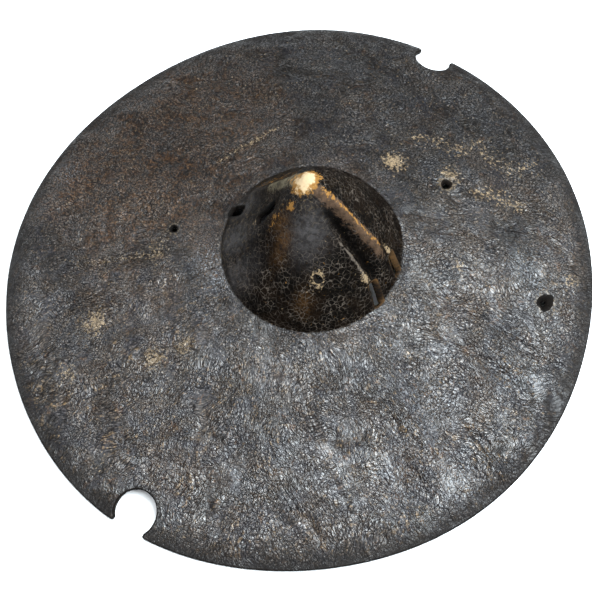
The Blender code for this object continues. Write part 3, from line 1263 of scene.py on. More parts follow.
class ShaderGroup:
    """A shared shader effect as a node group, with named inputs and outputs."""

    title = "effect"
    flat = False
    takes: tuple[tuple[str, str, Any], ...] = ()
    gives: tuple[str, ...] = ()

    def __init__(self) -> None:
        """Build the group once."""
        self.tree = bpy.data.node_groups.new(self.title, "ShaderNodeTree")
        for name, kind, value in self.takes:
            socket = self.tree.interface.new_socket(name, in_out="INPUT", socket_type=kind)
            if value is not None:
                socket.default_value = value
        for name in self.gives:
            self.tree.interface.new_socket(name, in_out="OUTPUT", socket_type="NodeSocketFloat")
        bench = NodeBench(self.tree, self.flat)
        entry = bench.add("NodeGroupInput")
        out = bench.add("NodeGroupOutput")
        for name, socket in self.effect(bench, entry.outputs).items():
            self.tree.links.new(socket, out.inputs[name])

    def effect(self, bench: NodeBench, given: Any) -> dict[str, Socket]:
        """Build the effect's nodes.

        Args:
            bench: where nodes are added.
            given: the group's inputs by name.

        Returns:
            A socket for each output.
        """
        raise NotImplementedError

    def put(self, bench: NodeBench, **values: Any) -> Any:
        """Place the group in a material with its own values, and give its outputs."""
        return bench.add("ShaderNodeGroup", values, node_tree=self.tree).outputs


class HideGrain(ShaderGroup):
    """Leather grain: plump cells parted by fine furrows, at two sizes, in rough and in smoother patches."""

    title = "hide_grain"
    takes = (("Vector", "NodeSocketVector", None), ("Cell", "NodeSocketFloat", 0.0036))
    gives = ("Height", "Furrows", "Peaks", "Clouds")

    def lie(self, bench: NodeBench, place: Socket) -> Socket:
        """Coordinates in which the grain is even."""
        return bench.bent(bench.bent(place, 0.014, 0.0060), 0.0036, 0.0016)

    def effect(self, bench: NodeBench, given: Any) -> dict[str, Socket]:
        """Cells between furrows, with lumps and pores.

        Args:
            bench: where nodes are added.
            given: the group's inputs by name.

        Returns:
            A socket for each output.
        """
        place = given["Vector"]
        spot = self.lie(bench, place)
        scale = bench.math("DIVIDE", 1.0, given["Cell"])
        coarse = bench.cells(spot, scale)
        fine = bench.cells(spot, bench.times(scale, 2.1))
        lumps = bench.noise(place, 0.0060, 3.0, 0.62, 0.3)
        plump = bench.ramp(coarse, 0.0, 0.24)
        small = bench.ramp(fine, 0.0, 0.28)
        clouds = bench.noise(place, 0.030, 4.0, 0.62, 0.4)
        rough = bench.ramp(clouds, 0.36, 0.62, 0.40, 1.2)
        lines = bench.times(bench.furrow(spot, 1.0 / 0.0085, 4.0, 0.09), 0.9)
        height = bench.plus(bench.times(plump, 0.45), bench.times(small, 0.28))
        height = bench.times(bench.plus(height, lines), rough)
        height = bench.plus(height, bench.times(lumps, 0.55))
        furrows = bench.larger(bench.ramp(coarse, 0.15, 0.0), bench.times(bench.ramp(fine, 0.18, 0.0), 0.6))
        furrows = bench.times(furrows, bench.ramp(rough, 0.2, 1.0, 0.45, 1.0))
        peaks = bench.ramp(bench.plus(bench.times(small, 0.4), lumps), 0.66, 0.98)
        return {"Height": height, "Furrows": furrows, "Peaks": bench.times(peaks, plump), "Clouds": clouds}


class FlangeGrain(HideGrain):
    """The grain of the flange, drawn out away from the boss."""

    title = "flange_grain"
    flat = True

    def lie(self, bench: NodeBench, place: Socket) -> Socket:
        """Coordinates in which the grain is even."""
        return bench.bent(bench.flow(place, 1.0, 1.35), 0.0040, 0.0018)


class FlowWrinkles(ShaderGroup):
    """Wrinkles that run from the boss towards the rim, with streaks of colour along them."""

    title = "flow_wrinkles"
    flat = True
    takes = (("Vector", "NodeSocketVector", None),)
    gives = ("Height", "Crests", "Streaks")

    def effect(self, bench: NodeBench, given: Any) -> dict[str, Socket]:
        """Long wrinkles in patches, strongest on the side that was folded most.

        Args:
            bench: where nodes are added.
            given: the group's inputs by name.

        Returns:
            A socket for each output.
        """
        place = given["Vector"]
        lie = bench.flow(place, 1.0, 2.8)
        coarse = bench.furrow(lie, 1.0 / 0.0090, 3.0, 0.30)
        fine = bench.furrow(lie, 1.0 / 0.0044, 3.0, 0.24)
        patches = bench.ramp(bench.noise(place, 0.045, 3.0, 0.55, 0.0, 21.0), 0.40, 0.60)
        side = bench.toward_folds(place, -0.06, 0.16, 0.35, 1.0)
        strength = bench.times(bench.plus(bench.times(patches, 0.8), 0.2), side)
        height = bench.times(bench.plus(coarse, bench.times(fine, 0.6)), strength)
        crests = bench.times(bench.ramp(bench.plus(coarse, fine), 1.35, 2.0), strength)
        streaks = bench.ramp(bench.noise(lie, 0.0030, 4.0, 0.72), 0.50, 0.66)
        return {"Height": height, "Crests": crests, "Streaks": streaks}


class Craquelure(ShaderGroup):
    """A net of fine cracks in a stiff dried surface: lines, and the height of the plates between them."""

    title = "craquelure"
    takes = (("Vector", "NodeSocketVector", None), ("Plate", "NodeSocketFloat", 0.0045))
    gives = ("Lines", "Height")

    def effect(self, bench: NodeBench, given: Any) -> dict[str, Socket]:
        """Cracks at two sizes, bent by noise.

        Args:
            bench: where nodes are added.
            given: the group's inputs by name.

        Returns:
            A socket for each output.
        """
        place = given["Vector"]
        spot = bench.bent(place, 0.0040, 0.0011)
        scale = bench.math("DIVIDE", 1.0, given["Plate"])
        wide = bench.ramp(bench.cells(spot, scale), 0.062, 0.008)
        thin = bench.times(bench.ramp(bench.cells(spot, bench.times(scale, 2.1)), 0.070, 0.01), 0.2)
        broken = bench.ramp(bench.noise(place, 0.0035, 2.0, 0.6, 0.0, 0.3), 0.36, 0.58, 0.25, 1.0)
        gaps = bench.times(bench.ramp(bench.noise(place, 0.014, 3.0), 0.34, 0.62, 0.10, 1.0), broken)
        lines = bench.times(bench.larger(wide, thin), gaps)
        return {"Lines": lines, "Height": bench.rest(bench.larger(wide, thin))}


class Scuffs(ShaderGroup):
    """Ragged wear: breaks up a soft mask into worn flecks."""

    title = "scuffs"
    takes = (("Vector", "NodeSocketVector", None), ("Mask", "NodeSocketFloat", 0.0),
             ("Fleck", "NodeSocketFloat", 0.004), ("Break", "NodeSocketFloat", 1.3))
    gives = ("Worn",)

    def effect(self, bench: NodeBench, given: Any) -> dict[str, Socket]:
        """Flecks where noise is under the mask.

        Args:
            bench: where nodes are added.
            given: the group's inputs by name.

        Returns:
            A socket for the output.
        """
        scale = bench.math("DIVIDE", 1.0, given["Fleck"])
        chips = bench.add("ShaderNodeTexNoise", {"Vector": given["Vector"], "Scale": scale, "Detail": 5.0,
                                                 "Roughness": 0.68}).outputs[0]
        broken = bench.times(bench.math("SUBTRACT", chips, 0.5), given["Break"])
        worn = bench.ramp(bench.plus(given["Mask"], broken), 0.40, 0.75)
        return {"Worn": worn}


class Dressing:
    """A material under way: its nodes, the place where its patterns are read, and its shader."""

    def __init__(self, title: str, flat: bool = False) -> None:
        """Start a material.

        Args:
            title: its name.
            flat: whether its patterns are read in plan only.
        """
        self.material = bpy.data.materials.new(title)
        self.material.use_nodes = True
        self.bench = NodeBench(self.material.node_tree, flat)
        self.shader = self.material.node_tree.nodes["Principled BSDF"]
        self.place = self.bench.add("ShaderNodeTexCoord").outputs["Object"]

    def finish(self, colour: Socket, rough: Socket, height: Socket, depth: float, film: Socket | None = None,
               **levels: float) -> bpy.types.Material:
        """Join what was made to the shader.

        Args:
            colour: the base colour.
            rough: the roughness.
            height: height of the fine relief.
            depth: how deep that relief is, in metres.
            film: weight of a glossy film, if there is one.
            levels: even settings of the shader, with underscores for spaces.

        Returns:
            The material.
        """
        inputs = {"Strength": 1.0, "Distance": depth, "Height": height}
        bump = self.bench.add("ShaderNodeBump", inputs).outputs[0]
        joined = {"Base Color": colour, "Roughness": rough, "Normal": bump}
        if film is not None:
            joined |= {"Coat Weight": film, "Coat Normal": bump}
        for name, socket in joined.items():
            self.bench.tree.links.new(socket, self.shader.inputs[name])
        for name, level in levels.items():
            self.shader.inputs[name.replace("_", " ")].default_value = level
        return self.material


@dataclass(frozen=True)
class FlangeFinish:
    """The flange's outer face: dark oiled hide, glossy, rusty towards one side, with tan flecks, painted
    shade on its far half and in its furrows, and painted highlights.
    """

    dark: Colour = (0.0056, 0.0043, 0.0040, 1.0)
    mid: Colour = (0.0230, 0.0132, 0.0078, 1.0)
    cool: Colour = (0.0130, 0.0122, 0.0152, 1.0)
    peak: Colour = (0.098, 0.077, 0.060, 1.0)
    # Painted shade: the near-black colour laid into the grain's furrows.
    furrow: Colour = (0.0025, 0.0021, 0.0020, 1.0)
    rust: Colour = (0.095, 0.045, 0.018, 1.0)
    tan: Colour = (0.230, 0.165, 0.098, 1.0)
    fold: Colour = (0.200, 0.128, 0.062, 1.0)
    gleam: Colour = (0.170, 0.180, 0.195, 1.0)
    burnish: Colour = (0.008, 0.0066, 0.0060, 1.0)
    foot: Colour = (0.0060, 0.0048, 0.0042, 1.0)
    rust_middle: tuple[float, float, float] = (-0.165, 0.070, 0.02)
    rust_reach: float = 0.17
    grain_depth: float = 0.00043
    wrinkle_width: float = 0.0042
    wrinkle_length: float = 0.020

    def dress(self, grain: HideGrain, flow: FlowWrinkles, scuffs: Scuffs) -> bpy.types.Material:
        """Build the material.

        Args:
            grain: the flange's grain effect.
            flow: the shared wrinkle effect.
            scuffs: the shared wear effect.

        Returns:
            The material.
        """
        skin = Dressing("hide_flange", True)
        bench, place = skin.bench, skin.place
        rim, edge, gleam = bench.layer("rim"), bench.layer("edge"), bench.layer("gleam")
        texture = grain.put(bench, Vector=place, Cell=0.0028)
        folds = flow.put(bench, Vector=place)
        broad = bench.ramp(bench.noise(place, 0.075, 3.0, 0.6, 0.3, 2.0), 0.35, 0.68)
        clouds = bench.ramp(texture["Clouds"], 0.34, 0.68)
        tone = bench.plus(bench.times(broad, 0.5), bench.times(clouds, 0.5))
        colour = self.colour(bench, place, tone, broad, texture, folds)
        fine = bench.noise(place, 0.0018, 2.0, 0.65, 0.3, 37.0)
        colour = bench.mix(1.0, colour, bench.ramp(fine, 0.34, 0.66, 0.35, 1.70), "MULTIPLY")
        # Painted shade: the colour is multiplied down from 0.95 to 0.40 towards the far side, against
        # FOLDED_WAY.
        along = bench.plus(bench.vector("DOT_PRODUCT", place, FOLDED_WAY), bench.times(broad, 0.05))
        far_shade = bench.ramp(along, -0.16, 0.12, 0.40, 0.95)
        colour = bench.mix(1.0, colour, far_shade, "MULTIPLY")
        # Painted highlight: pale cool flecks where the flange gleams.
        shine = bench.times(gleam, bench.ramp(bench.noise(place, 0.0018, 2.0, 0.7, 0.3, 31.0), 0.52, 0.70))
        colour = bench.mix(shine, colour, self.gleam)
        flecks = scuffs.put(bench, Vector=place, Mask=bench.layer("worn"), Fleck=0.0026, Break=3.4)["Worn"]
        colour = bench.mix(bench.times(flecks, 0.8), colour, self.tan)
        # Painted shade: the grain's furrows are coloured near black.
        colour = bench.mix(bench.times(texture["Furrows"], 0.9), colour, self.furrow)
        # Darker along the rim and beside every cut edge.
        colour = bench.mix(bench.times(rim, 0.65), colour, self.burnish)
        colour = bench.mix(bench.times(edge, 0.7), colour, self.burnish)
        colour = bench.mix(bench.layer("boss"), colour, self.foot)
        rough = bench.plus(bench.ramp(clouds, 0.0, 1.0, 0.36, 0.50), bench.times(texture["Furrows"], 0.40))
        height = bench.plus(texture["Height"], self.wrinkles(bench))
        height = bench.plus(height, bench.times(folds["Height"], 1.7))
        height = bench.plus(height, bench.times(fine, 0.30))
        film = self.film(bench, texture["Furrows"], clouds, fine, far_shade)
        return skin.finish(colour, rough, height, self.grain_depth, film, Specular_IOR_Level=0.12,
                           Coat_Roughness=0.27, Coat_IOR=1.62)

    def film(self, bench: NodeBench, furrows: Socket, clouds: Socket, fine: Socket, far_shade: Socket) -> Socket:
        """Weight of the gloss, which is worn out of the furrows, off the rim and off the rusty far side,
        following the painted shade there.

        Args:
            bench: where nodes are added.
            furrows: the grain's furrows.
            clouds: the broad mottling.
            fine: the finest mottling.
            far_shade: the painted shade, how much darker the hide is made towards each side.

        Returns:
            The weight's socket.
        """
        film = bench.rest(bench.times(furrows, 0.95))
        film = bench.times(film, bench.ramp(bench.plus(clouds, bench.times(fine, 0.5)), 0.2, 0.9, 0.62, 1.0))
        film = bench.times(film, bench.ramp(bench.layer("rim"), 0.0, 1.0, 1.0, 0.30))
        patchy = bench.times(bench.ramp(fine, 0.42, 0.60), 0.66)
        return bench.times(film, bench.larger(bench.ramp(far_shade, 0.40, 0.95, 0.10, 0.97), patchy))

    def colour(self, bench: NodeBench, place: Socket, tone: Socket, broad: Socket, texture: Any,
               folds: Any) -> Socket:
        """Colour before wear: mottled, with cool smooth patches and rusty, golden and pale flecks; the golden
        flecks on wrinkle crests and the pale grain tops are partly painted highlights.

        Args:
            bench: where nodes are added.
            place: where patterns are read.
            tone: from dark to light.
            broad: the largest mottling.
            texture: the grain's outputs.
            folds: the wrinkles' outputs.

        Returns:
            The colour's socket.
        """
        colour = bench.mix(tone, self.dark, self.mid)
        region = bench.ramp(bench.vector("DISTANCE", place, self.rust_middle), self.rust_reach, 0.02)
        cool = bench.times(bench.ramp(bench.noise(place, 0.022, 3.0, 0.6, 0.3, 0.7), 0.42, 0.62),
                           bench.ramp(region, 0.0, 0.6, 1.0, 0.2))
        colour = bench.mix(cool, colour, self.cool)
        spots = bench.ramp(bench.noise(place, 0.0060, 4.0, 0.75, 0.5, 5.0), 0.46, 0.66)
        flecks = bench.larger(spots, folds["Streaks"])
        rust = bench.times(flecks, bench.ramp(bench.plus(region, bench.times(broad, 0.35)), 0.15, 0.85))
        colour = bench.mix(bench.times(rust, 0.7), colour, self.rust)
        # Tan-gold on the wrinkle crests: partly rubbed colour, partly a painted highlight.
        broken = bench.ramp(bench.noise(place, 0.0042, 3.0, 0.72, 0.0, 25.0), 0.46, 0.60)
        colour = bench.mix(bench.times(bench.times(folds["Crests"], broken), 0.60), colour, self.fold)
        stray = bench.times(bench.ramp(bench.noise(place, 0.010, 4.0, 0.74, 0.4, 9.0), 0.60, 0.74), 0.55)
        colour = bench.mix(stray, colour, self.rust)
        pale = bench.times(bench.ramp(bench.noise(place, 0.0026, 3.0, 0.72, 0.3, 13.0), 0.60, 0.72),
                           bench.ramp(bench.noise(place, 0.034, 2.0, 0.6, 0.0, 17.0), 0.44, 0.66, 0.15, 1.0))
        colour = bench.mix(bench.times(pale, 0.6), colour, self.tan)
        # Pale grain tops: partly rubbed colour, partly a painted glint.
        peaks = bench.times(texture["Peaks"], bench.plus(bench.times(tone, 0.6), 0.15))
        return bench.mix(peaks, colour, self.peak)

    def wrinkles(self, bench: NodeBench) -> Socket:
        """Height of the small wrinkles that run beside each crease.

        Args:
            bench: where nodes are added.

        Returns:
            The height's socket.
        """
        across = bench.math("DIVIDE", bench.layer("across"), self.wrinkle_width)
        run = bench.math("DIVIDE", bench.layer("run"), self.wrinkle_length)
        place = bench.add("ShaderNodeCombineXYZ", {0: across, 1: run}).outputs[0]
        ridge = bench.furrow(bench.bent(place, 0.9, 0.22), 1.0, 2.0, 0.20)
        return bench.times(bench.times(ridge, bench.layer("band")), 2.0)


@dataclass(frozen=True)
class BossFinish:
    """The boss's outer face: near black and crazed, rubbed golden on its crest and bare at its tip, with
    painted highlights on its crest and left ridge, painted sheen in patches and painted shade in a hollow.
    """

    dark: Colour = (0.0014, 0.0011, 0.0010, 1.0)
    brown: Colour = (0.0040, 0.0024, 0.0016, 1.0)
    streak: Colour = (0.050, 0.024, 0.0080, 1.0)
    sheen: Colour = (0.040, 0.0370, 0.0370, 1.0)
    crack: Colour = (0.086, 0.070, 0.057, 1.0)
    speckle: Colour = (0.090, 0.064, 0.034, 1.0)
    gold: Colour = (0.230, 0.112, 0.028, 1.0)
    crest: Colour = (0.070, 0.043, 0.027, 1.0)
    olive: Colour = (0.125, 0.105, 0.068, 1.0)
    apex: Colour = (0.42, 0.31, 0.185, 1.0)
    tan: Colour = (0.230, 0.165, 0.098, 1.0)
    grain_depth: float = 0.00040

    def dress(self, cracks: Craquelure, scuffs: Scuffs) -> bpy.types.Material:
        """Build the material.

        Args:
            cracks: the shared crack effect.
            scuffs: the shared wear effect.

        Returns:
            The material.
        """
        skin = Dressing("hide_boss")
        bench, place = skin.bench, skin.place
        net = cracks.put(bench, Vector=place, Plate=0.0042)
        clouds = bench.noise(place, 0.020, 4.0, 0.65, 0.4)
        lumps = bench.noise(place, 0.0050, 3.0, 0.6, 0.3)
        colour = self.colour(bench, place, clouds, lumps, net)
        colour = self.wear(bench, place, colour, lumps, scuffs)
        rough = bench.ramp(clouds, 0.3, 0.7, 0.34, 0.50)
        film = bench.times(bench.layer("sheen"), bench.ramp(lumps, 0.36, 0.62, 0.1, 0.36))
        film = bench.larger(film, bench.ramp(bench.layer("dull"), 0.0, 1.0, 0.10, 0.02))
        height = bench.plus(bench.times(net["Height"], 0.55), bench.times(lumps, 0.9))
        return skin.finish(colour, rough, height, self.grain_depth, film, Specular_IOR_Level=0.0,
                           Coat_Roughness=0.32)

    def colour(self, bench: NodeBench, place: Socket, clouds: Socket, lumps: Socket, net: Any) -> Socket:
        """Colour before wear: near black, with greyer, smoother patches of painted sheen, brown streaks, a
        net of cracks and painted shade in the hollow beside the crest.

        Args:
            bench: where nodes are added.
            place: where patterns are read.
            clouds: the broad mottling.
            lumps: the fine mottling.
            net: the cracks' outputs.

        Returns:
            The colour's socket.
        """
        fine = bench.noise(place, 0.0024, 3.0, 0.7, 0.2, 3.0)
        colour = bench.mix(bench.ramp(clouds, 0.40, 0.66), self.dark, self.brown)
        # Painted sheen: grey colour in the sheen spots stands in for the boss's sheen.
        smooth = bench.times(bench.layer("sheen"), bench.ramp(lumps, 0.36, 0.62, 0.5, 1.0))
        colour = bench.mix(smooth, colour, self.sheen)
        stain = bench.times(bench.layer("brown"), bench.ramp(fine, 0.36, 0.60, 0.2, 1.0))
        colour = bench.mix(stain, colour, self.streak)
        lines = bench.times(net["Lines"], bench.ramp(bench.layer("sheen"), 0.0, 1.0, 0.80, 0.35))
        colour = bench.mix(lines, colour, self.crack)
        sparse = bench.ramp(bench.layer("dull"), 0.0, 1.0, 0.42, 0.04)
        colour = bench.mix(bench.times(bench.ramp(fine, 0.54, 0.68), sparse), colour, self.speckle)
        # Painted shade: the hollow beside the crest is coloured near black.
        return bench.mix(bench.times(bench.layer("hollow"), 0.95), colour, self.dark)

    def wear(self, bench: NodeBench, place: Socket, colour: Socket, lumps: Socket, scuffs: Scuffs) -> Socket:
        """Add the rubbed crest, ridges and holes, the golden flecks and the bare tip, with painted highlights
        on the crest and the left ridge.

        Args:
            bench: where nodes are added.
            place: where patterns are read.
            colour: the colour so far.
            lumps: the fine mottling.
            scuffs: the shared wear effect.

        Returns:
            The colour's socket.
        """
        # The crest's stripe is rubbed colour and partly a painted highlight; the left crest's olive stripe is
        # a painted highlight along its ridge.
        for mask, fleck, ragged, least, most, tint in (("crest", 0.0036, 1.8, 0.40, 0.85, self.crest),
                                                       ("left_crest", 0.0034, 1.4, 0.25, 0.80, self.olive),
                                                       ("shoulder", 0.0030, 1.6, 0.70, 0.70, self.crack)):
            stripe = bench.layer(mask)
            rubbed = scuffs.put(bench, Vector=place, Mask=stripe, Fleck=fleck, Break=ragged)["Worn"]
            rubbed = bench.times(rubbed, bench.ramp(lumps, 0.34, 0.62, least, most))
            colour = bench.mix(rubbed, colour, tint)
        # The golden line on the crest's near side and the golden spots are painted highlight as well as
        # rubbed colour; round the tip the gold is rubbed wear.
        lines = bench.larger(bench.layer("crest_line"), bench.layer("gilt"))
        halo = bench.larger(lines, bench.times(bench.ramp(bench.layer("apex"), 0.02, 0.45), 0.95))
        gilt = scuffs.put(bench, Vector=place, Mask=halo, Fleck=0.0030, Break=2.6)["Worn"]
        colour = bench.mix(bench.times(gilt, 0.80), colour, self.gold)
        flecks = scuffs.put(bench, Vector=place, Mask=bench.layer("worn"), Fleck=0.0026, Break=2.8)["Worn"]
        colour = bench.mix(bench.times(flecks, 0.8), colour, self.tan)
        bare = scuffs.put(bench, Vector=place, Mask=bench.layer("apex"), Fleck=0.0055, Break=1.9)["Worn"]
        return bench.mix(bare, colour, self.apex)


@dataclass(frozen=True)
class CutFinish:
    """The cut edges: brown hide seen through its thickness, darkened near black, partly burnished by handling
    and partly as painted shade inside the holes and slots.
    """

    core: Colour = (0.070, 0.036, 0.013, 1.0)
    dark: Colour = (0.0020, 0.0016, 0.0014, 1.0)
    layer_gap: float = 0.0011
    grain_depth: float = 0.00022

    def dress(self, grain: HideGrain) -> bpy.types.Material:
        """Build the material.

        Args:
            grain: the shared grain effect.

        Returns:
            The material.
        """
        skin = Dressing("hide_cut_edge")
        bench, place = skin.bench, skin.place
        texture = grain.put(bench, Vector=place, Cell=0.0016)
        fresh = bench.layer("fresh")
        layers = bench.noise(bench.stretched(place, 0.0, (0.12, 0.12, 1.0)), self.layer_gap, 3.0, 0.6)
        stain = bench.ramp(bench.plus(texture["Clouds"], bench.times(layers, 0.5)), 0.55, 0.95)
        share = bench.times(stain, bench.ramp(fresh, 0.0, 1.0, 0.04, 1.0))
        # Near black, partly painted shade in the holes and slots; brown round the two slots by the fold.
        colour = bench.mix(share, self.dark, self.core)
        rough = bench.ramp(layers, 0.3, 0.7, 0.60, 0.85)
        height = bench.plus(texture["Height"], layers)
        return skin.finish(colour, rough, height, self.grain_depth, Specular_IOR_Level=0.08)


@dataclass(frozen=True)
class FleshFinish:
    """The inner, flesh side: plainer matt brown, fibrous, with hand grease round the boss's hollow."""

    dark: Colour = (0.030, 0.020, 0.013, 1.0)
    light: Colour = (0.088, 0.060, 0.038, 1.0)
    grain_depth: float = 0.00035

    def dress(self, grain: HideGrain, scuffs: Scuffs) -> bpy.types.Material:
        """Build the material.

        Args:
            grain: the shared grain effect.
            scuffs: the shared wear effect.

        Returns:
            The material.
        """
        skin = Dressing("hide_flesh_side")
        bench, place = skin.bench, skin.place
        texture = grain.put(bench, Vector=place, Cell=0.0060)
        fibre = bench.noise(bench.stretched(place, 35.0, (0.25, 1.0, 0.6)), 0.0016, 4.0, 0.65)
        tone = bench.plus(bench.times(bench.ramp(texture["Clouds"], 0.3, 0.7), 0.6), bench.times(fibre, 0.4))
        grease = scuffs.put(bench, Vector=place, Mask=bench.layer("boss"), Fleck=0.020)["Worn"]
        colour = bench.mix(tone, self.dark, self.light)
        colour = bench.mix(bench.times(grease, 0.6), colour, self.dark)
        rough = bench.ramp(tone, 0.0, 1.0, 0.55, 0.85)
        height = bench.plus(bench.times(texture["Height"], 0.6), fibre)
        return skin.finish(colour, rough, height, self.grain_depth)


@dataclass
class HideRelief:
    """Geometry nodes that press dents, wrinkles and grain into the hide and put its finishes on."""

    dent_height: float = 0.0036
    dent_size: float = 0.040
    ridge_height: float = 0.0016
    ridge_width: float = 0.0100
    wrinkle_height: float = 0.0010
    wrinkle_size: float = 0.017
    grain_height: float = 0.00065
    grain_size: float = 0.0070
    seed: float = 4.0

    def tree(self) -> bpy.types.NodeTree:
        """Build the node tree.

        Returns:
            The tree, with a named input for each size.
        """
        tree = bpy.data.node_groups.new("hide_relief", "GeometryNodeTree")
        face = tree.interface
        face.new_socket("Geometry", in_out="INPUT", socket_type="NodeSocketGeometry")
        for name in self.sizes():
            face.new_socket(name, in_out="INPUT", socket_type="NodeSocketFloat")
        for name in ("Flange", "Boss", "Cut Edge", "Flesh Side"):
            face.new_socket(name, in_out="INPUT", socket_type="NodeSocketMaterial")
        face.new_socket("Geometry", in_out="OUTPUT", socket_type="NodeSocketGeometry")
        bench = NodeBench(tree)
        given = bench.add("NodeGroupInput").outputs
        place = bench.add("GeometryNodeInputPosition").outputs[0]

        def cloud(size: Socket, detail: float, shift: float) -> Socket:
            """Noise from -1 to 1 at a size taken from the inputs.

            Args:
                size: the size's socket.
                detail: layers of finer noise.
                shift: added to the seed, for another pattern.

            Returns:
                The value's socket.
            """
            inputs = {"Vector": place, "W": bench.plus(given["Seed"], shift),
                      "Scale": bench.math("DIVIDE", 1.0, size), "Detail": detail, "Roughness": 0.55}
            node = bench.add("ShaderNodeTexNoise", inputs, noise_dimensions="4D")
            return bench.spread(node.outputs[0])

        dents = bench.times(cloud(given["Dent Size"], 2.0, 0.0), given["Dent Height"])
        ridge = bench.math("ABSOLUTE", cloud(given["Wrinkle Size"], 3.0, 3.7))
        lines = bench.math("SUBTRACT", bench.ramp(ridge, 0.0, 0.22), 1.0)
        patches = bench.ramp(cloud(given["Dent Size"], 2.0, 8.1), -0.15, 0.25)
        wrinkles = bench.times(bench.times(lines, patches), given["Wrinkle Height"])
        grain = bench.times(cloud(given["Grain Size"], 2.0, 5.2), given["Grain Height"])
        ridges = bench.times(self.ridges(bench, place, given), given["Ridge Height"])
        lift = bench.plus(bench.plus(dents, ridges), bench.plus(wrinkles, grain))
        lift = bench.times(lift, self.stored(bench, "relief", "FLOAT"))
        offset = bench.vector("SCALE", bench.add("GeometryNodeInputNormal").outputs[0], lift)
        inputs = {"Geometry": given["Geometry"], "Offset": offset}
        moved = bench.add("GeometryNodeSetPosition", inputs).outputs[0]
        smooth = bench.add("GeometryNodeSetShadeSmooth", {"Geometry": moved}).outputs[0]
        real = bench.add("GeometryNodeRealizeInstances", {"Geometry": smooth}).outputs[0]
        inputs = {"Geometry": real, "Material": given["Flange"]}
        dressed = bench.add("GeometryNodeSetMaterial", inputs).outputs[0]
        for name, finish in (("boss_side", "Boss"), ("cut_edge", "Cut Edge"), ("flesh_side", "Flesh Side")):
            inputs = {"Geometry": dressed, "Material": given[finish],
                      "Selection": self.stored(bench, name, "BOOLEAN")}
            dressed = bench.add("GeometryNodeSetMaterial", inputs).outputs[0]
        bench.add("NodeGroupOutput", {"Geometry": dressed})
        return tree

    def sizes(self) -> dict[str, float]:
        """The tree's inputs by name, with the sizes that they get."""
        return {item.name.replace("_", " ").title(): getattr(self, item.name) for item in fields(self)}

    def ridges(self, bench: NodeBench, place: Socket, given: Any) -> Socket:
        """Ridges that run out from the boss, strongest on the side that was folded most.

        Args:
            bench: where nodes are added.
            place: the point's position.
            given: the tree's inputs by name.

        Returns:
            The height's socket, from -1 to 1.
        """
        scale = bench.math("DIVIDE", 1.0, given["Ridge Width"])
        lie = bench.vector("SCALE", bench.flow(place, 1.0, 4.0), scale)
        seeded = bench.vector("ADD", lie, bench.add("ShaderNodeCombineXYZ", {2: given["Seed"]}).outputs[0])
        noise = bench.cloud({"Vector": seeded, "Scale": 1.0, "Detail": 2.0}).outputs[0]
        side = bench.toward_folds(place, -0.06, 0.16, 0.30, 1.0)
        share = bench.rest(self.stored(bench, "boss", "FLOAT"))
        return bench.times(bench.times(bench.spread(noise), side), share)

    def stored(self, bench: NodeBench, name: str, kind: str) -> Socket:
        """An attribute that is stored on the mesh."""
        node = bench.add("GeometryNodeInputNamedAttribute", {"Name": name}, data_type=kind)
        return next(socket for socket in node.outputs if socket.enabled and socket.name == "Attribute")

    def press(self, shield: bpy.types.Object, finishes: dict[str, bpy.types.Material]) -> bpy.types.Object:
        """Run the tree on the hide and keep the result as a plain mesh.

        Args:
            shield: the hide's object.
            finishes: the material for each named input.

        Returns:
            The same object, with its new mesh and no modifier.
        """
        tree = self.tree()
        modifier = shield.modifiers.new("hide_relief", "NODES")
        modifier.node_group = tree
        values = {**self.sizes(), **finishes}
        for socket in tree.interface.items_tree:
            if socket.in_out == "INPUT" and socket.name in values:
                modifier[socket.identifier] = values[socket.name]
        graph = bpy.context.evaluated_depsgraph_get()
        mesh = bpy.data.meshes.new_from_object(shield.evaluated_get(graph), preserve_all_data_layers=True,
                                               depsgraph=graph)
        shield.modifiers.remove(modifier)
        mesh.name = "moulded_hide"
        shield.data = mesh
        return shield


@dataclass
class MouldedHide:
    """The shield itself: one moulded piece of hide, with its finishes."""

    form: HideForm = field(default_factory=HideForm)
    relief: HideRelief = field(default_factory=HideRelief)
    flange_finish: FlangeFinish = FlangeFinish()
    boss_finish: BossFinish = BossFinish()
    cut_finish: CutFinish = CutFinish()
    flesh_finish: FleshFinish = FleshFinish()

    def build(self) -> bpy.types.Object:
        """Make the piece, dress it and hand it to the frame.

        Returns:
            The object.
        """
        grain, scuffs = HideGrain(), Scuffs()
        finishes = {"Flange": self.flange_finish.dress(FlangeGrain(), FlowWrinkles(), scuffs),
                    "Boss": self.boss_finish.dress(Craquelure(), scuffs),
                    "Cut Edge": self.cut_finish.dress(grain),
                    "Flesh Side": self.flesh_finish.dress(grain, scuffs)}
        shield = HideMesh(self.form, Outline(self.form)).build()
        self.relief.press(shield, finishes)
        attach(shield, "root")
        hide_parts("shield_hide")
        return shield


def heading(azimuth: float, elevation: float) -> Vector:
    """Unit vector at an azimuth and elevation in degrees; azimuth 0 is towards -Y and 90 towards +X."""
    turn, lift = math.radians(azimuth), math.radians(elevation)
    return Vector((math.sin(turn) * math.cos(lift), -math.cos(turn) * math.cos(lift), math.sin(lift)))


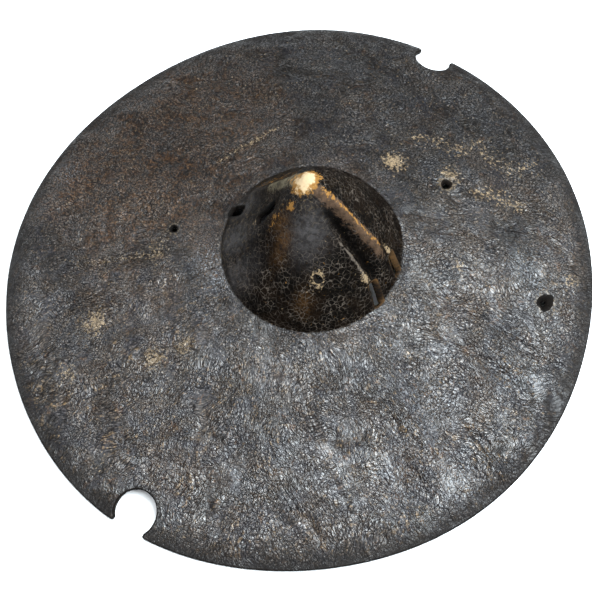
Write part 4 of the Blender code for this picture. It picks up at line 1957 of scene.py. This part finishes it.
@dataclass(frozen=True)
class Studio:
    """The plain pale floor, the soft lights and the camera at the photograph's angle."""

    elevation: float = 66.336
    azimuth: float = 28.586
    roll: float = -5.0
    distance: float = 1.3
    target: tuple[float, float, float] = (0.00835, -0.01627, 0.0)
    focal_pixels: float = 1479.0
    image_pixels: float = 600.0
    sensor: float = 36.0
    floor_size: float = 12.0
    floor_gap: float = 0.0004
    light_colour: tuple[float, float, float] = (0.86, 0.95, 1.0)

    def directions(self) -> tuple[Vector, Vector, Vector]:
        """The camera's right, up and back directions.

        Returns:
            Three unit vectors.
        """
        azimuth, roll = math.radians(self.azimuth), math.radians(self.roll)
        back = heading(self.azimuth, self.elevation)
        right = Vector((math.cos(azimuth), math.sin(azimuth), 0.0))
        up = back.cross(right)
        level, tip = math.cos(roll), math.sin(roll)
        return right * level + up * tip, up * level - right * tip, back

    def camera(self) -> None:
        """Set up the camera."""
        right, up, back = self.directions()
        lens = bpy.data.cameras.new("camera")
        lens.sensor_width = self.sensor
        lens.lens = self.focal_pixels / self.image_pixels * self.sensor
        lens.clip_start, lens.clip_end = 0.05, 20.0
        camera = bpy.data.objects.new("camera", lens)
        place = Matrix((right, up, back)).transposed().to_4x4()
        place.translation = Vector(self.target) + back * self.distance
        camera.matrix_world = place
        bpy.context.scene.collection.objects.link(camera)
        bpy.context.scene.camera = camera

    def floor(self) -> None:
        """Lay the floor, a hair's width under the rim."""
        half, level = self.floor_size / 2, -self.floor_gap
        mesh = bpy.data.meshes.new("floor")
        corners = [(-half, -half, level), (half, -half, level), (half, half, level), (-half, half, level)]
        mesh.from_pydata(corners, [], [(0, 1, 2, 3)])
        material = bpy.data.materials.new("pale_floor")
        material.use_nodes = True
        shader = material.node_tree.nodes["Principled BSDF"]
        shader.inputs["Base Color"].default_value = (0.82, 0.82, 0.82, 1.0)
        shader.inputs["Roughness"].default_value = 0.9
        mesh.materials.append(material)
        floor = bpy.data.objects.new("floor", mesh)
        bpy.context.scene.collection.objects.link(floor)

    def softbox(self, name: str, towards: tuple[float, float], distance: float, size: float,
                power: float) -> None:
        """Hang a square soft light that faces the shield.

        Args:
            name: the light's name.
            towards: its azimuth, measured like the camera's, and elevation in degrees.
            distance: how far off it is.
            size: length of its side.
            power: its power in watts.
        """
        back = heading(*towards)
        lamp = bpy.data.lights.new(name, "AREA")
        lamp.shape, lamp.size, lamp.energy, lamp.color = "SQUARE", size, power, self.light_colour
        light = bpy.data.objects.new(name, lamp)
        facing = back.to_track_quat("Z", "Y").to_matrix().to_4x4()
        light.matrix_world = Matrix.Translation(back * distance) @ facing
        bpy.context.scene.collection.objects.link(light)

    def world(self, low: float, high: float) -> None:
        """Light the room from its ceiling.

        Args:
            low: brightness at the horizon and below it.
            high: brightness straight above.
        """
        world = bpy.data.worlds.new("room")
        world.use_nodes = True
        bench = NodeBench(world.node_tree)
        sky = bench.add("ShaderNodeTexCoord").outputs["Generated"]
        upward = bench.add("ShaderNodeSeparateXYZ", {0: sky}).outputs[2]
        background = world.node_tree.nodes["Background"]
        world.node_tree.links.new(bench.ramp(upward, 0.50, 1.0, low, high), background.inputs["Strength"])
        background.inputs["Color"].default_value = (0.94, 0.97, 1.0, 1.0)
        bpy.context.scene.world = world

    def build(self) -> None:
        """Set up floor, lights and camera."""
        self.camera()
        self.floor()
        self.softbox("key", (108.0, 65.0), 2.1, 1.5, 152.0)
        self.softbox("fill", (-58.0, 58.0), 2.4, 1.6, 12.0)
        self.world(0.03, 2.35)
        bpy.context.scene.view_settings.view_transform = "Standard"


def main() -> None:
    """Build the shield and the studio, and report each piece."""
    logging.basicConfig(level=logging.INFO, format="%(name)s: %(message)s")
    shield = MouldedHide().build()
    LOG.info("%s: %d faces", shield.name, len(shield.data.polygons))
    Studio().build()
    LOG.info("floor, lights and camera are set")


if __name__ == "__main__":
    main()
